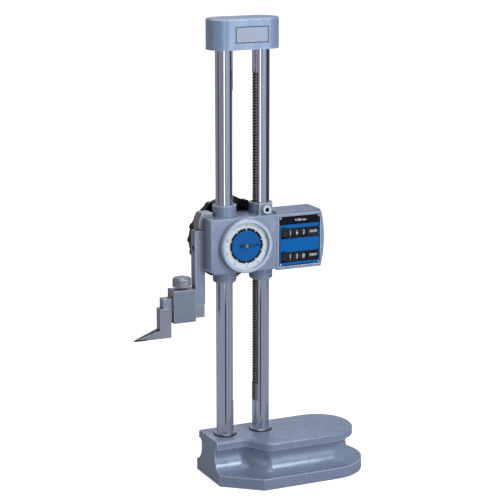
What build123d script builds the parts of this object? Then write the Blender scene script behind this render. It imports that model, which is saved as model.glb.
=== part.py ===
from build123d import *
import os
from math import acos, atan2, ceil, cos, pi, radians, sin, sqrt, tan

# Double-column height gauge with a dial and two mechanical counters.
# Millimetres, +Z up, +X along the long side of the base, the dial faces -Y.
# The origin lies on the ground underside, midway between the two column axes.

# ---------------------------------------------------------------- driving sizes
# fits
running_gap = 0.05
seat_gap = 0.02
clear_gap = 0.3

# columns
column_spacing = 41.8
column_radius = 9.2
column_free = 411.5
column_floor = 16.7
column_head_seat = 25.0
column_chamfer = 0.8
column_bolt_depth = 16.0

# base
base_height = 46.7
base_left = -40.5
base_end_x = 84.0
flange_height = 12.0
flange_rear = 31.0
flange_front = -62.0
flange_nose_x = -3.0
flange_left_front = -31.0
lip_height = 8.7
lip_rear = 25.0
lip_front = -50.0
neck_front = -24.0
neck_flank_x = -7.0
neck_flank_run = 15.0
neck_round = 12.0
waist_inset = 7.0
cove_radius = 17.0
lip_under_chamfer = 3.0
lip_top_chamfer = 1.8
rim_width = 13.0
rim_relief = 1.0
foot_ring_radius = 11.3
foot_ring_height = 2.2
foot_ring_chamfer = 0.7
bolt_radius = 4.0
bolt_head_radius = 6.5
bolt_head_height = 8.0
bolt_head_recess = 4.0
bolt_socket = 3.4

# head
head_radius = 18.6
head_height = 31.8
head_chamfer = 1.4
set_screw_radius = 2.5
set_screw_length = 7.0
set_screw_above = 12.0
set_screw_socket = 1.25

# rack and pinions
rack_pitch = 3.0
rack_flat = 1.2
rack_width = 9.0
pinion_teeth = 16
pinion_width = 8.0
pressure_angle = 20.0
addendum_share = 0.9
dedendum_share = 1.15
tooth_backlash = 0.16
measuring_above_dial = 16.0
pocket_gap = 0.8
nose_radius = 2.0
nose_length = 4.0

# step-up train from the measuring pinion to the pointer
train_module = 0.3
measuring_wheel_teeth = 72
idler_pinion_teeth = 9
idler_wheel_teeth = 60
pointer_pinion_teeth = 10
train_wheel_width = 0.9
train_gap = 0.5
train_backlash = 0.1
arbor_radius = 0.6
arbor_seat = 1.8

# slider; scriber_height is the reading at rest and scriber_drop is counted from the dial's centre
scriber_height = 161.8
scriber_drop = 94.2
travel_up = 148.2
body_left = -45.2
body_right = 31.0
body_front = -16.0
body_back = 12.5
body_above = 29.5
body_below = 29.0
body_corner_cut = 5.0
body_round = 2.0
collar_radius = 12.5
collar_above = 40.7
collar_below = 41.2
collar_chamfer = 1.2
bush_wall = 2.0
bush_length = 10.0
wiper_thickness = 2.0
bore_relief = 1.0
cover_thickness = 4.0
cover_round = 1.0
gear_well_depth = 4.4
gear_well_gap = 0.6

# dial
bezel_radius = 28.6
bezel_wall = 3.2
bezel_depth = 6.2
bezel_lip_width = 3.8
bezel_lip_height = 0.7
bezel_chamfer = 0.8
dial_seat_width = 3.4
dial_boss_height = 2.0
dial_face_thickness = 0.6
dial_face_lift = 0.3
dial_face_hole = 1.4
crystal_thickness = 0.8
pointer_end_gap = 5.6
pointer_tail = 7.0
pointer_root_width = 1.3
pointer_tip_width = 0.5
pointer_thickness = 0.4
pointer_hub_radius = 2.3
pointer_lift = 0.8

# counter box
box_right = 82.0
box_bulge = 4.0
box_above = 31.0
box_below = 30.5
box_wall = 2.4
box_top_bevel = 2.6
box_edge_chamfer = 0.8
fascia_left = 33.0
fascia_right = 81.0
fascia_above = 26.2
fascia_below = 27.0
fascia_round = 1.5
fascia_thickness = 1.2
fascia_ledge = 1.0
cavity_left = 35.0
cavity_corner = 1.0
fascia_boss_inset = 1.6
fascia_boss_radius = 1.45
fascia_boss_depth = 6.0
housing_screw_radius = 1.25
housing_screw_head = 2.2
housing_screw_head_height = 1.5
housing_screw_grip = 5.0
housing_screw_y = -13.2
housing_screws_above = (-4.0, 21.0)
window_left = 35.4
window_right = 79.2
window_height = 11.4
upper_window_above = 7.8
lower_window_below = 17.7
mask_thickness = 0.6
mask_border = 0.5
digit_left = 43.6
digit_pitch = 7.8
digit_wheel_count = 3
digit_wheel_radius = 7.4
digit_wheel_gap = 0.3
digit_opening_height = 6.4
axle_radius = 1.5
cheek_thickness = 1.2
frame_post_radius = 3.0
frame_post_inset = 4.0
frame_post_below = 5.0
lens_thickness = 0.8
button_width = 6.0
button_rise = 1.4
button_proud = 1.4
button_depth = 4.0
button_travel = 2.0
button_chamfer = 0.5
button_stem_radius = 1.6
button_reach = 1.5

# jaw, scriber and clamp
jaw_front = -5.5
jaw_depth = 11.0
jaw_bar_width = 11.3
jaw_bar_above = 16.3
jaw_bar_round = 1.5
jaw_arm_left = -92.4
jaw_arm_height = 10.2
scriber_shank_height = 13.4
scriber_face_drop = 18.2
scriber_left = -96.0
scriber_leg_width = 12.3
scriber_right = -46.0
scriber_tip_x = -124.7
scriber_tip_height = 1.2
scriber_toe_height = 8.8
scriber_tip_width = 2.5
scriber_slide_out = 11.0
tip_insert_length = 13.5
tip_insert_thickness = 2.0
clamp_left = -82.0
clamp_right = -57.3
clamp_wall = 2.8
clamp_floor = 3.0
clamp_roof = 3.6
clamp_round = 0.6
pad_height = 4.6
pad_inset = 0.4
clamp_screw_radius = 2.5
clamp_knob_radius = 9.3
knob_flat_count = 6
clamp_knob_height = 9.2
clamp_knob_chamfer = 1.6
clamp_neck = 3.0
clamp_knob_overlap = 1.08
knob_slot_width = 1.8
knob_slot_depth = 2.0
jaw_screw_below_dial = 2.5
jaw_screw_radius = 2.0
jaw_screw_head = 3.1
jaw_screw_head_height = 4.0
jaw_screw_recess = 1.2
jaw_screw_grip = 8.0
bracket_top_above = 34.0
bracket_left = -51.0
bracket_front = -4.0
bracket_thickness = 5.0
bracket_below_dial = 20.0
bracket_corner_cut = 6.0
bracket_tongue = 9.0
bracket_screw_radius = 1.25
bracket_screw_head = 2.2
bracket_screw_head_height = 2.0
bracket_screw_grip = 5.0
bracket_screws_above = (-12.0, 8.0)

# slider lock
lock_above = 34.6
lock_boss_width = 15.6
lock_screw_radius = 2.5
lock_head_radius = 4.3
lock_head_height = 3.6
lock_socket = 2.2
lock_shoe_thickness = 1.4

# handwheel
wheel_radius = 44.5
wheel_lobe_count = 18
wheel_lobe_depth = 1.6
wheel_width = 9.0
wheel_front = 21.0
wheel_web = 4.0
wheel_rim = 9.0
wheel_hub_radius = 10.0
wheel_round = 1.5
shaft_radius = 4.0
bearing_flange_width = 2.2
bearing_flange_thickness = 3.0
wheel_cap_radius = 7.0
wheel_cap_height = 3.0
wheel_cap_chamfer = 1.2

# ---------------------------------------------------------------- worked out
column_x = column_spacing / 2
column_bottom = column_floor
head_bottom = base_height + column_free
column_top = head_bottom + column_head_seat
set_screw_z = head_bottom + set_screw_above
lip_bottom = base_height - lip_height

rack_module = rack_pitch / pi
pinion_pitch_radius = rack_module * pinion_teeth / 2
pinion_tip_radius = pinion_pitch_radius + addendum_share * rack_module
rack_crest_x = -column_x + column_radius - rack_flat
rack_pitch_x = rack_crest_x - addendum_share * rack_module
pinion_x = rack_pitch_x + pinion_pitch_radius
pocket_radius = pinion_tip_radius + pocket_gap

dial_x = pinion_x
dial_z = scriber_height + scriber_drop
travel_down = scriber_height
measuring_x = -pinion_x
measuring_z = dial_z + measuring_above_dial

# the idler of the train stands right of the line from the pointer to the measuring pinion
measuring_wheel_tip = train_module * (measuring_wheel_teeth / 2 + addendum_share)
idler_wheel_tip = train_module * (idler_wheel_teeth / 2 + addendum_share)
pointer_pinion_tip = train_module * (pointer_pinion_teeth / 2 + addendum_share)
idler_to_pointer = train_module * (idler_wheel_teeth + pointer_pinion_teeth) / 2
idler_to_measuring = train_module * (measuring_wheel_teeth + idler_pinion_teeth) / 2
span_x = measuring_x - dial_x
span_z = measuring_z - dial_z
span = sqrt(span_x**2 + span_z**2)
idler_along = (idler_to_pointer**2 - idler_to_measuring**2 + span**2) / (2 * span)
idler_aside = sqrt(idler_to_pointer**2 - idler_along**2)
idler_x = dial_x + (idler_along * span_x + idler_aside * span_z) / span
idler_z = dial_z + (idler_along * span_z - idler_aside * span_x) / span
first_layer = body_front + gear_well_depth - train_gap
second_layer = first_layer - train_wheel_width - train_gap

body_top = dial_z + body_above
body_bottom = dial_z - body_below
collar_top = dial_z + collar_above
collar_bottom = dial_z - collar_below
collar_height = collar_top - collar_bottom
bush_outer = column_radius + bush_wall
bore_radius = column_radius + bore_relief
cover_front = body_front - cover_thickness
dial_boss_front = cover_front - dial_boss_height
dial_face_radius = bezel_radius - bezel_wall
dial_boss_radius = dial_face_radius - dial_seat_width
pointer_length = dial_face_radius - pointer_end_gap
bezel_back = cover_front - clear_gap
bezel_front = bezel_back - bezel_depth
dial_face_back = dial_boss_front - dial_face_lift
dial_face_front = dial_face_back - dial_face_thickness
crystal_front = bezel_front + bezel_lip_height
crystal_back = crystal_front + crystal_thickness

box_front = cover_front
box_back = body_back
box_top = dial_z + box_above
box_bottom = dial_z - box_below
fascia_front = box_front
fascia_back = fascia_front + fascia_thickness
fascia_top = dial_z + fascia_above
fascia_bottom = dial_z - fascia_below
mask_back = fascia_back + mask_thickness
window_heights = {"upper": dial_z + upper_window_above, "lower": dial_z - lower_window_below}
digit_axis_y = mask_back + clear_gap + digit_wheel_radius
digits_right = digit_left + digit_wheel_count * digit_pitch
cheek_left = digit_left - digit_wheel_gap - cheek_thickness
cheek_right = digits_right
frame_front = mask_back + clear_gap
frame_back = digit_axis_y + digit_wheel_radius + clear_gap + cheek_thickness
button_x = window_left + clear_gap + button_width / 2

jaw_back = jaw_front + jaw_depth
jaw_middle_y = jaw_front + jaw_depth / 2
jaw_right = body_left
jaw_left = jaw_right - jaw_bar_width
jaw_top = dial_z + jaw_bar_above
shank_bottom = scriber_height + scriber_face_drop
shank_top = shank_bottom + scriber_shank_height
arm_top = shank_top + jaw_arm_height
leg_right = scriber_left + scriber_leg_width
clamp_middle_x = (clamp_left + clamp_right) / 2
clamp_inner_top = arm_top + pad_height
clamp_top = clamp_inner_top + clamp_roof
knob_bottom = clamp_top + clamp_neck
jaw_screw_z = dial_z - jaw_screw_below_dial
lock_z = dial_z + lock_above
lock_boss_front = -collar_radius
wheel_back = wheel_front + wheel_width
wheel_dish_back = (wheel_width - wheel_web) * 0.6
wheel_dish_front = (wheel_width - wheel_web) * 0.4
wheel_lobe_round = pi * wheel_radius / wheel_lobe_count * 0.62
hub_front = body_back + bearing_flange_thickness + clear_gap
bracket_back = jaw_back + clear_gap + bracket_thickness
pointer_back = dial_face_front - pointer_lift
fascia_boss_places = [
    (x, z)
    for x in (fascia_left + fascia_boss_inset, fascia_right - fascia_boss_inset)
    for z in (fascia_bottom + fascia_boss_inset, fascia_top - fascia_boss_inset)
]
frame_post_places = [
    (digit_left + frame_post_inset, dial_z - frame_post_below),
    (digits_right - frame_post_inset, dial_z - frame_post_below),
]
housing_screw_places = [(housing_screw_y, dial_z + above) for above in housing_screws_above]
bracket_screw_y = bracket_back - bracket_thickness / 2
bracket_screw_places = [(bracket_screw_y, dial_z + above) for above in bracket_screws_above]


def front_plane(y):
    """Plane at depth y that faces the dial's side: local x is X, local y is Z, extrude goes -Y."""
    return Plane.XZ.offset(-y)


def axial_plane(x, z):
    """Half section of a part turned about the front-to-back line at (x, z)."""
    return Plane(origin=(x, 0, z), x_dir=(1, 0, 0), z_dir=(0, 0, 1))


def front_axis(x, z):
    return Axis((x, 0, z), (0, 1, 0))


def involute(angle):
    return tan(angle) - angle


def gear_points(teeth, module, backlash, first_tooth):
    """Points round a spur gear; each flank follows its involute above the base circle."""
    pitch_radius = module * teeth / 2
    base_radius = pitch_radius * cos(radians(pressure_angle))
    tip_radius = pitch_radius + addendum_share * module
    root_radius = pitch_radius - dedendum_share * module
    half_tooth = pi / (2 * teeth) - backlash / (2 * pitch_radius)
    start = max(base_radius, root_radius)
    steps = 3 if module == rack_module else 1
    radii = [start + (tip_radius - start) * step / steps for step in range(steps + 1)]
    if root_radius < start:
        radii.insert(0, root_radius)
    points = []
    for tooth in range(teeth):
        middle = first_tooth + 2 * pi * tooth / teeth
        flank = []
        for radius in radii:
            swing = involute(acos(base_radius / max(radius, base_radius)))
            flank.append((radius, half_tooth + involute(radians(pressure_angle)) - swing))
        points += [(r * cos(middle - a), r * sin(middle - a)) for r, a in flank]
        points += [(r * cos(middle + a), r * sin(middle + a)) for r, a in reversed(flank)]
    return points


def save(part, label):
    part.label = label
    export_step(part, f"parts/{label}.step")


os.makedirs("parts", exist_ok=True)

# ================================================================ the stand
# Base: a casting with a flange, a finger groove that is one cove struck round the front, the round
# end and the rear, and an overhanging lip that swings out in an S past the columns. It is drawn
# longer to the left and sawn off square at base_left.
saw_allowance = 30
casting_left = base_left - saw_allowance
flange_end_radius = (flange_rear - flange_front) / 2
lip_end_radius = (lip_rear - lip_front) / 2
nose_slope = (flange_left_front - flange_front) / (base_left - flange_nose_x)
casting_nose = flange_front + nose_slope * (casting_left - flange_nose_x)
blank_size = 3 * (base_end_x + flange_end_radius)

with BuildSketch() as flange_outline:
    with BuildLine():
        Line((casting_left, flange_rear), (base_end_x, flange_rear))
        ThreePointArc(
            (base_end_x, flange_rear),
            (base_end_x + flange_end_radius, flange_rear - flange_end_radius),
            (base_end_x, flange_front),
        )
        Line((base_end_x, flange_front), (flange_nose_x, flange_front))
        Line((flange_nose_x, flange_front), (casting_left, casting_nose))
        Line((casting_left, casting_nose), (casting_left, flange_rear))
    make_face()

with BuildSketch() as lip_outline:
    with BuildLine():
        Line((casting_left, lip_rear), (base_end_x, lip_rear))
        ThreePointArc(
            (base_end_x, lip_rear),
            (base_end_x + lip_end_radius, lip_rear - lip_end_radius),
            (base_end_x, lip_front),
        )
        Line((base_end_x, lip_front), (neck_flank_x + neck_flank_run, lip_front))
        Line((neck_flank_x + neck_flank_run, lip_front), (neck_flank_x, neck_front))
        Line((neck_flank_x, neck_front), (casting_left, neck_front))
        Line((casting_left, neck_front), (casting_left, lip_rear))
    make_face()
    flank_ends = lip_outline.vertices().filter_by(
        lambda v: neck_flank_x - neck_round < v.X < neck_flank_x + neck_flank_run + neck_round
    )
    fillet(flank_ends, neck_round)

with BuildPart() as base:
    with BuildSketch():
        Rectangle(blank_size, blank_size)
    extrude(amount=flange_height)
    with BuildSketch(Plane.XY.offset(flange_height)):
        offset(lip_outline.sketch, amount=-waist_inset)
    extrude(amount=base_height - flange_height)
    flange_face = base.faces().filter_by(Axis.Z).group_by(Axis.Z)[1][0]
    fillet(flange_face.inner_wires()[0].edges(), cove_radius)
    with BuildSketch():
        add(flange_outline.sketch)
    extrude(amount=base_height, mode=Mode.INTERSECT)
    with BuildSketch(Plane.XY.offset(lip_bottom)):
        add(lip_outline.sketch)
    extrude(amount=lip_height)
    under_lip = base.faces().filter_by(Axis.Z).group_by(Axis.Z)[-2][0]
    chamfer(under_lip.inner_wires()[0].edges(), lip_under_chamfer)
    chamfer(base.faces().sort_by(Axis.Z)[-1].outer_wire().edges(), lip_top_chamfer)
    split(bisect_by=Plane.YZ.offset(base_left), keep=Keep.TOP)
    # seats for the columns; holes and counterbores for their bolts from below
    for side in (-1, 1):
        with BuildSketch(Plane.XY.offset(column_bottom)):
            with Locations((side * column_x, 0)):
                Circle(column_radius + seat_gap)
        extrude(amount=base_height - column_bottom, mode=Mode.SUBTRACT)
        with BuildSketch():
            with Locations((side * column_x, 0)):
                Circle(bolt_radius + clear_gap)
        extrude(amount=column_bottom, mode=Mode.SUBTRACT)
        with BuildSketch():
            with Locations((side * column_x, 0)):
                Circle(bolt_head_radius + clear_gap)
        extrude(amount=bolt_head_recess + bolt_head_height, mode=Mode.SUBTRACT)
    # relief inside the ground rim
    with BuildSketch() as relief_outline:
        add(flange_outline.sketch)
        with Locations((base_left, 0)):
            Rectangle(
                blank_size, blank_size, align=(Align.MIN, Align.CENTER), mode=Mode.INTERSECT
            )
        offset(amount=-rim_width, kind=Kind.INTERSECTION, mode=Mode.REPLACE)
    extrude(amount=rim_relief, mode=Mode.SUBTRACT)
save(base.part, "base")

# Columns: ground bars seated in the base and the head and tapped below for their bolts. Both are
# racks: milled flat along the inner side but for a rib with straight-sided teeth. The feed
# pinion runs on the left one and the measuring pinion on the right one.
gaps_below = ceil((travel_down + pinion_tip_radius) / rack_pitch)
gaps_above = ceil((travel_up + pinion_tip_radius) / rack_pitch)
rack_gaps = gaps_below + gaps_above + 1
gap_floor = -dedendum_share * rack_module
gap_mouth = addendum_share * rack_module + rack_flat
flank_slope = tan(radians(pressure_angle))

for side, name, gear_z in ((-1, "column_left", dial_z), (1, "column_right", measuring_z)):
    with BuildPart() as column:
        with BuildSketch(Plane.XY.offset(column_bottom)):
            with Locations((side * column_x, 0)):
                Circle(column_radius)
        extrude(amount=column_top - column_bottom)
        chamfer(column.edges().filter_by(GeomType.CIRCLE), column_chamfer)
        with BuildSketch(Plane.XY.offset(column_bottom)):
            with Locations((side * column_x, 0)):
                Circle(bolt_radius + seat_gap)
        extrude(amount=column_bolt_depth, mode=Mode.SUBTRACT)
        # milled down to the floor of the tooth gaps, and then the toothed rib put back; one gap of
        # each rack faces its pinion at rest
        rack_middle = gear_z + (gaps_above - gaps_below) * rack_pitch / 2
        rack_length = rack_gaps * rack_pitch
        floor_x = abs(rack_pitch_x) - gap_floor
        with BuildSketch(front_plane(column_radius)):
            with Locations((side * floor_x, rack_middle)):
                inner = Align.MIN if side < 0 else Align.MAX
                Rectangle(column_radius, rack_length, align=(inner, Align.CENTER))
        extrude(amount=2 * column_radius, mode=Mode.SUBTRACT)
        with BuildSketch(front_plane(rack_width / 2)):
            with Locations((side * abs(rack_crest_x), rack_middle)):
                outer = Align.MAX if side < 0 else Align.MIN
                rib_height = floor_x - abs(rack_crest_x) + rack_flat
                Rectangle(rib_height, rack_length, align=(outer, Align.CENTER))
            with Locations((side * abs(rack_pitch_x), rack_middle)):
                with GridLocations(0, rack_pitch, 1, rack_gaps):
                    Polygon(
                        (-side * gap_mouth, rack_pitch / 4 + gap_mouth * flank_slope),
                        (-side * gap_floor, rack_pitch / 4 + gap_floor * flank_slope),
                        (-side * gap_floor, -rack_pitch / 4 - gap_floor * flank_slope),
                        (-side * gap_mouth, -rack_pitch / 4 - gap_mouth * flank_slope),
                        align=None,
                        mode=Mode.SUBTRACT,
                    )
        extrude(amount=rack_width)
    save(column.part, name)

with BuildPart() as column_bolts:
    for side in (-1, 1):
        with BuildSketch(Plane.XY.offset(bolt_head_recess)):
            with Locations((side * column_x, 0)):
                Circle(bolt_head_radius)
        extrude(amount=bolt_head_height)
        with BuildSketch(Plane.XY.offset(bolt_head_recess)):
            with Locations((side * column_x, 0)):
                Circle(bolt_radius)
        extrude(amount=column_bottom - bolt_head_recess + column_bolt_depth - clear_gap)
        with BuildSketch(Plane.XY.offset(bolt_head_recess)):
            with Locations((side * column_x, 0)):
                RegularPolygon(bolt_socket, 6)
        extrude(amount=bolt_head_height / 2, mode=Mode.SUBTRACT)
save(column_bolts.part, "column_bolts")

with BuildPart() as foot_rings:
    for side in (-1, 1):
        with BuildSketch(Plane.XY.offset(base_height)):
            with Locations((side * column_x, 0)):
                Circle(foot_ring_radius)
        extrude(amount=foot_ring_height)
    chamfer(foot_rings.edges().group_by(Axis.Z)[-1], foot_ring_chamfer)
    for side in (-1, 1):
        with BuildSketch(Plane.XY.offset(base_height)):
            with Locations((side * column_x, 0)):
                Circle(column_radius + seat_gap)
        extrude(amount=foot_ring_height, mode=Mode.SUBTRACT)
save(foot_rings.part, "foot_rings")

# Head: a bar, round-ended about the columns and bored from below; set screws at the rear.
with BuildPart() as head:
    with BuildSketch(Plane.XY.offset(head_bottom)):
        SlotCenterToCenter(column_spacing, 2 * head_radius)
    extrude(amount=head_height)
    chamfer(head.faces().sort_by(Axis.Z)[-1].edges(), head_chamfer)
    for side in (-1, 1):
        with BuildSketch(Plane.XY.offset(head_bottom)):
            with Locations((side * column_x, 0)):
                Circle(column_radius + seat_gap)
        extrude(amount=column_head_seat, mode=Mode.SUBTRACT)
        with BuildSketch(front_plane(head_radius)):
            with Locations((side * column_x, set_screw_z)):
                Circle(set_screw_radius + seat_gap)
        extrude(amount=head_radius - column_radius, mode=Mode.SUBTRACT)
save(head.part, "head")

with BuildPart() as head_set_screws:
    for side in (-1, 1):
        with BuildSketch(front_plane(column_radius + set_screw_length)):
            with Locations((side * column_x, set_screw_z)):
                Circle(set_screw_radius)
        extrude(amount=set_screw_length)
        with BuildSketch(front_plane(column_radius + set_screw_length)):
            with Locations((side * column_x, set_screw_z)):
                RegularPolygon(set_screw_socket, 6)
        extrude(amount=set_screw_length / 2, mode=Mode.SUBTRACT)
save(head_set_screws.part, "head_set_screws")

# ================================================================ the slider
# Slider body: a block bored for both columns, with collars above and below. Bushes and felt wipers
# fill the ends of the bores. Pockets open it to the rack for the two pinions, and a well in the
# front holds the step-up train.
with BuildSketch(front_plane(body_front)) as body_outline:
    with BuildLine():
        Polyline(
            (body_left, body_top),
            (body_right, body_top),
            (body_right, body_bottom),
            (body_left + body_corner_cut, body_bottom),
            (body_left, body_bottom + body_corner_cut),
            close=True,
        )
    make_face()

with BuildPart() as slider_body:
    with BuildSketch(front_plane(body_front)):
        add(body_outline.sketch_local)
    extrude(amount=body_front - body_back)
    rear_corners = slider_body.edges().filter_by(Axis.Z).group_by(Axis.Y)[-1]
    fillet(rear_corners.sort_by(Axis.X)[0], body_round)
    with BuildSketch(Plane.XY.offset(collar_bottom)):
        with Locations((-column_x, 0), (column_x, 0)):
            Circle(collar_radius)
    extrude(amount=collar_height)
    chamfer(slider_body.faces().sort_by(Axis.Z)[:2].edges(), collar_chamfer)
    # boss on the right collar for the slider lock
    with BuildSketch(Plane.XY.offset(body_top)):
        with Locations((column_x, lock_boss_front)):
            Rectangle(lock_boss_width, collar_radius, align=(Align.CENTER, Align.MIN))
    extrude(amount=collar_top - body_top)
    # bores, and the wider seats of the bushes and wipers at their ends
    for side in (-1, 1):
        with BuildSketch(Plane.XY.offset(collar_bottom)):
            with Locations((side * column_x, 0)):
                Circle(bore_radius)
        extrude(amount=collar_height, mode=Mode.SUBTRACT)
        for bottom in (collar_bottom, collar_top - bush_length - wiper_thickness):
            with BuildSketch(Plane.XY.offset(bottom)):
                with Locations((side * column_x, 0)):
                    Circle(bush_outer + seat_gap)
            extrude(amount=bush_length + wiper_thickness, mode=Mode.SUBTRACT)
    # pockets for the feed pinion, from the rear, and the measuring pinion, from the front, each
    # with a blind bearing for the nose of its shaft
    pinion_front = -pinion_width / 2 - clear_gap
    pinion_rear = pinion_width / 2 + clear_gap
    with BuildSketch(front_plane(pinion_front)):
        with Locations((pinion_x, dial_z)):
            Circle(pocket_radius)
    extrude(amount=pinion_front - body_back, mode=Mode.SUBTRACT)
    with BuildSketch(front_plane(0)):
        with Locations((pinion_x, dial_z)):
            Circle(nose_radius + running_gap)
    extrude(amount=nose_length - pinion_front, mode=Mode.SUBTRACT)
    with BuildSketch(front_plane(pinion_rear)):
        with Locations((measuring_x, measuring_z)):
            Circle(pocket_radius)
    extrude(amount=pinion_rear - body_front, mode=Mode.SUBTRACT)
    with BuildSketch(front_plane(pinion_rear + nose_length)):
        with Locations((measuring_x, measuring_z)):
            Circle(nose_radius + running_gap)
    extrude(amount=nose_length, mode=Mode.SUBTRACT)
    # well for the wheels of the step-up train, and seats for its arbors
    with BuildSketch(front_plane(body_front + gear_well_depth)):
        with Locations((measuring_x, measuring_z)):
            Circle(measuring_wheel_tip + gear_well_gap)
        with Locations((idler_x, idler_z)):
            Circle(idler_wheel_tip + gear_well_gap)
        with Locations((dial_x, dial_z)):
            Circle(pointer_pinion_tip + gear_well_gap)
    extrude(amount=gear_well_depth, mode=Mode.SUBTRACT)
    with BuildSketch(front_plane(body_front + gear_well_depth + arbor_seat)):
        with Locations((idler_x, idler_z), (dial_x, dial_z)):
            Circle(arbor_radius + running_gap)
    extrude(amount=arbor_seat, mode=Mode.SUBTRACT)
    # the hole for the lock screw and, in the left side, a tapped hole for the jaw screw
    with BuildSketch(front_plane(0)):
        with Locations((column_x, lock_z)):
            Circle(lock_screw_radius + running_gap)
    extrude(amount=collar_radius, mode=Mode.SUBTRACT)
    with BuildSketch(Plane.YZ.offset(body_left)):
        with Locations((jaw_middle_y, jaw_screw_z)):
            Circle(jaw_screw_radius + seat_gap)
    extrude(amount=jaw_screw_grip, mode=Mode.SUBTRACT)
    # tapped holes for the screws of the jaw bracket and the counter box
    with BuildSketch(Plane.YZ.offset(body_left)):
        with Locations(*bracket_screw_places):
            Circle(bracket_screw_radius + seat_gap)
    extrude(amount=bracket_screw_grip, mode=Mode.SUBTRACT)
    with BuildSketch(Plane.YZ.offset(body_right - housing_screw_grip)):
        with Locations(*housing_screw_places):
            Circle(housing_screw_radius + seat_gap)
    extrude(amount=housing_screw_grip, mode=Mode.SUBTRACT)
save(slider_body.part, "slider_body")

with BuildPart() as slide_bushes:
    for bottom in (collar_bottom + wiper_thickness, collar_top - wiper_thickness - bush_length):
        with BuildSketch(Plane.XY.offset(bottom)):
            for side in (-1, 1):
                with Locations((side * column_x, 0)):
                    Circle(bush_outer)
                    Circle(column_radius + running_gap, mode=Mode.SUBTRACT)
        extrude(amount=bush_length)
    # way through the upper right bush for the shoe of the slider lock
    with BuildSketch(front_plane(0)):
        with Locations((column_x, lock_z)):
            Circle(lock_screw_radius + running_gap)
    extrude(amount=collar_radius, mode=Mode.SUBTRACT)
save(slide_bushes.part, "slide_bushes")

with BuildPart() as column_wipers:
    for bottom in (collar_bottom, collar_top - wiper_thickness):
        with BuildSketch(Plane.XY.offset(bottom)):
            for side in (-1, 1):
                with Locations((side * column_x, 0)):
                    Circle(bush_outer)
                    Circle(column_radius + clear_gap, mode=Mode.SUBTRACT)
        extrude(amount=wiper_thickness)
save(column_wipers.part, "column_wipers")

# Front cover: a plate with the dial's bearing boss turned on it. It closes the gear well and
# carries the front ends of the train's arbors.
with BuildPart() as front_cover:
    with BuildSketch(front_plane(body_front)):
        add(body_outline.sketch_local)
    extrude(amount=cover_thickness)
    fillet(front_cover.faces().sort_by(Axis.Y)[0].edges(), cover_round)
    with BuildSketch(front_plane(cover_front)):
        with Locations((dial_x, dial_z)):
            Circle(dial_boss_radius)
    extrude(amount=dial_boss_height)
    with BuildSketch(front_plane(body_front)):
        with Locations((dial_x, dial_z)):
            Circle(arbor_radius + clear_gap)
    extrude(amount=cover_thickness + dial_boss_height, mode=Mode.SUBTRACT)
    with BuildSketch(front_plane(body_front)):
        with Locations((idler_x, idler_z), (measuring_x, measuring_z)):
            Circle(arbor_radius + running_gap)
    extrude(amount=arbor_seat + clear_gap, mode=Mode.SUBTRACT)
save(front_cover.part, "front_cover")

# Measuring pinion: the right-hand rack turns it, and the wheel on its shaft starts the train.
toward_idler = atan2(idler_z - measuring_z, idler_x - measuring_x)
toward_pointer = atan2(dial_z - idler_z, dial_x - idler_x)

with BuildPart() as measuring_pinion:
    with BuildSketch(front_plane(pinion_width / 2)):
        with Locations((measuring_x, measuring_z)):
            Polygon(*gear_points(pinion_teeth, rack_module, tooth_backlash, 0), align=None)
    extrude(amount=pinion_width)
    with BuildSketch(front_plane(pinion_rear + nose_length - clear_gap)):
        with Locations((measuring_x, measuring_z)):
            Circle(nose_radius)
    extrude(amount=pinion_rear + nose_length - clear_gap - first_layer)
    with BuildSketch(front_plane(first_layer)):
        with Locations((measuring_x, measuring_z)):
            Polygon(
                *gear_points(measuring_wheel_teeth, train_module, train_backlash, toward_idler),
                align=None,
            )
    extrude(amount=train_wheel_width)
    with BuildSketch(front_plane(first_layer)):
        with Locations((measuring_x, measuring_z)):
            Circle(arbor_radius)
    extrude(amount=first_layer - body_front + arbor_seat)
save(measuring_pinion.part, "measuring_pinion")

# Idler: a small pinion under the measuring wheel and a wheel over the pointer's pinion.
with BuildPart() as train_idler:
    idler_phase = toward_idler + pi + pi / idler_pinion_teeth
    with BuildSketch(front_plane(first_layer)):
        with Locations((idler_x, idler_z)):
            Polygon(
                *gear_points(idler_pinion_teeth, train_module, train_backlash, idler_phase),
                align=None,
            )
    extrude(amount=first_layer - second_layer)
    with BuildSketch(front_plane(second_layer)):
        with Locations((idler_x, idler_z)):
            Polygon(
                *gear_points(idler_wheel_teeth, train_module, train_backlash, toward_pointer),
                align=None,
            )
    extrude(amount=train_wheel_width)
    with BuildSketch(front_plane(body_front + gear_well_depth + arbor_seat - clear_gap)):
        with Locations((idler_x, idler_z)):
            Circle(arbor_radius)
    extrude(amount=gear_well_depth + 2 * arbor_seat - clear_gap)
save(train_idler.part, "train_idler")

# ---------------------------------------------------------------- dial
# Pointer arbor with its pinion, and the pointer pressed on its front end.
with BuildPart() as pointer_arbor:
    pointer_phase = toward_pointer + pi + pi / pointer_pinion_teeth
    with BuildSketch(front_plane(second_layer)):
        with Locations((dial_x, dial_z)):
            Polygon(
                *gear_points(pointer_pinion_teeth, train_module, train_backlash, pointer_phase),
                align=None,
            )
    extrude(amount=train_wheel_width)
    arbor_back = body_front + gear_well_depth + arbor_seat - clear_gap
    with BuildSketch(front_plane(arbor_back)):
        with Locations((dial_x, dial_z)):
            Circle(arbor_radius)
    extrude(amount=arbor_back - pointer_back)
save(pointer_arbor.part, "pointer_arbor")

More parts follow.
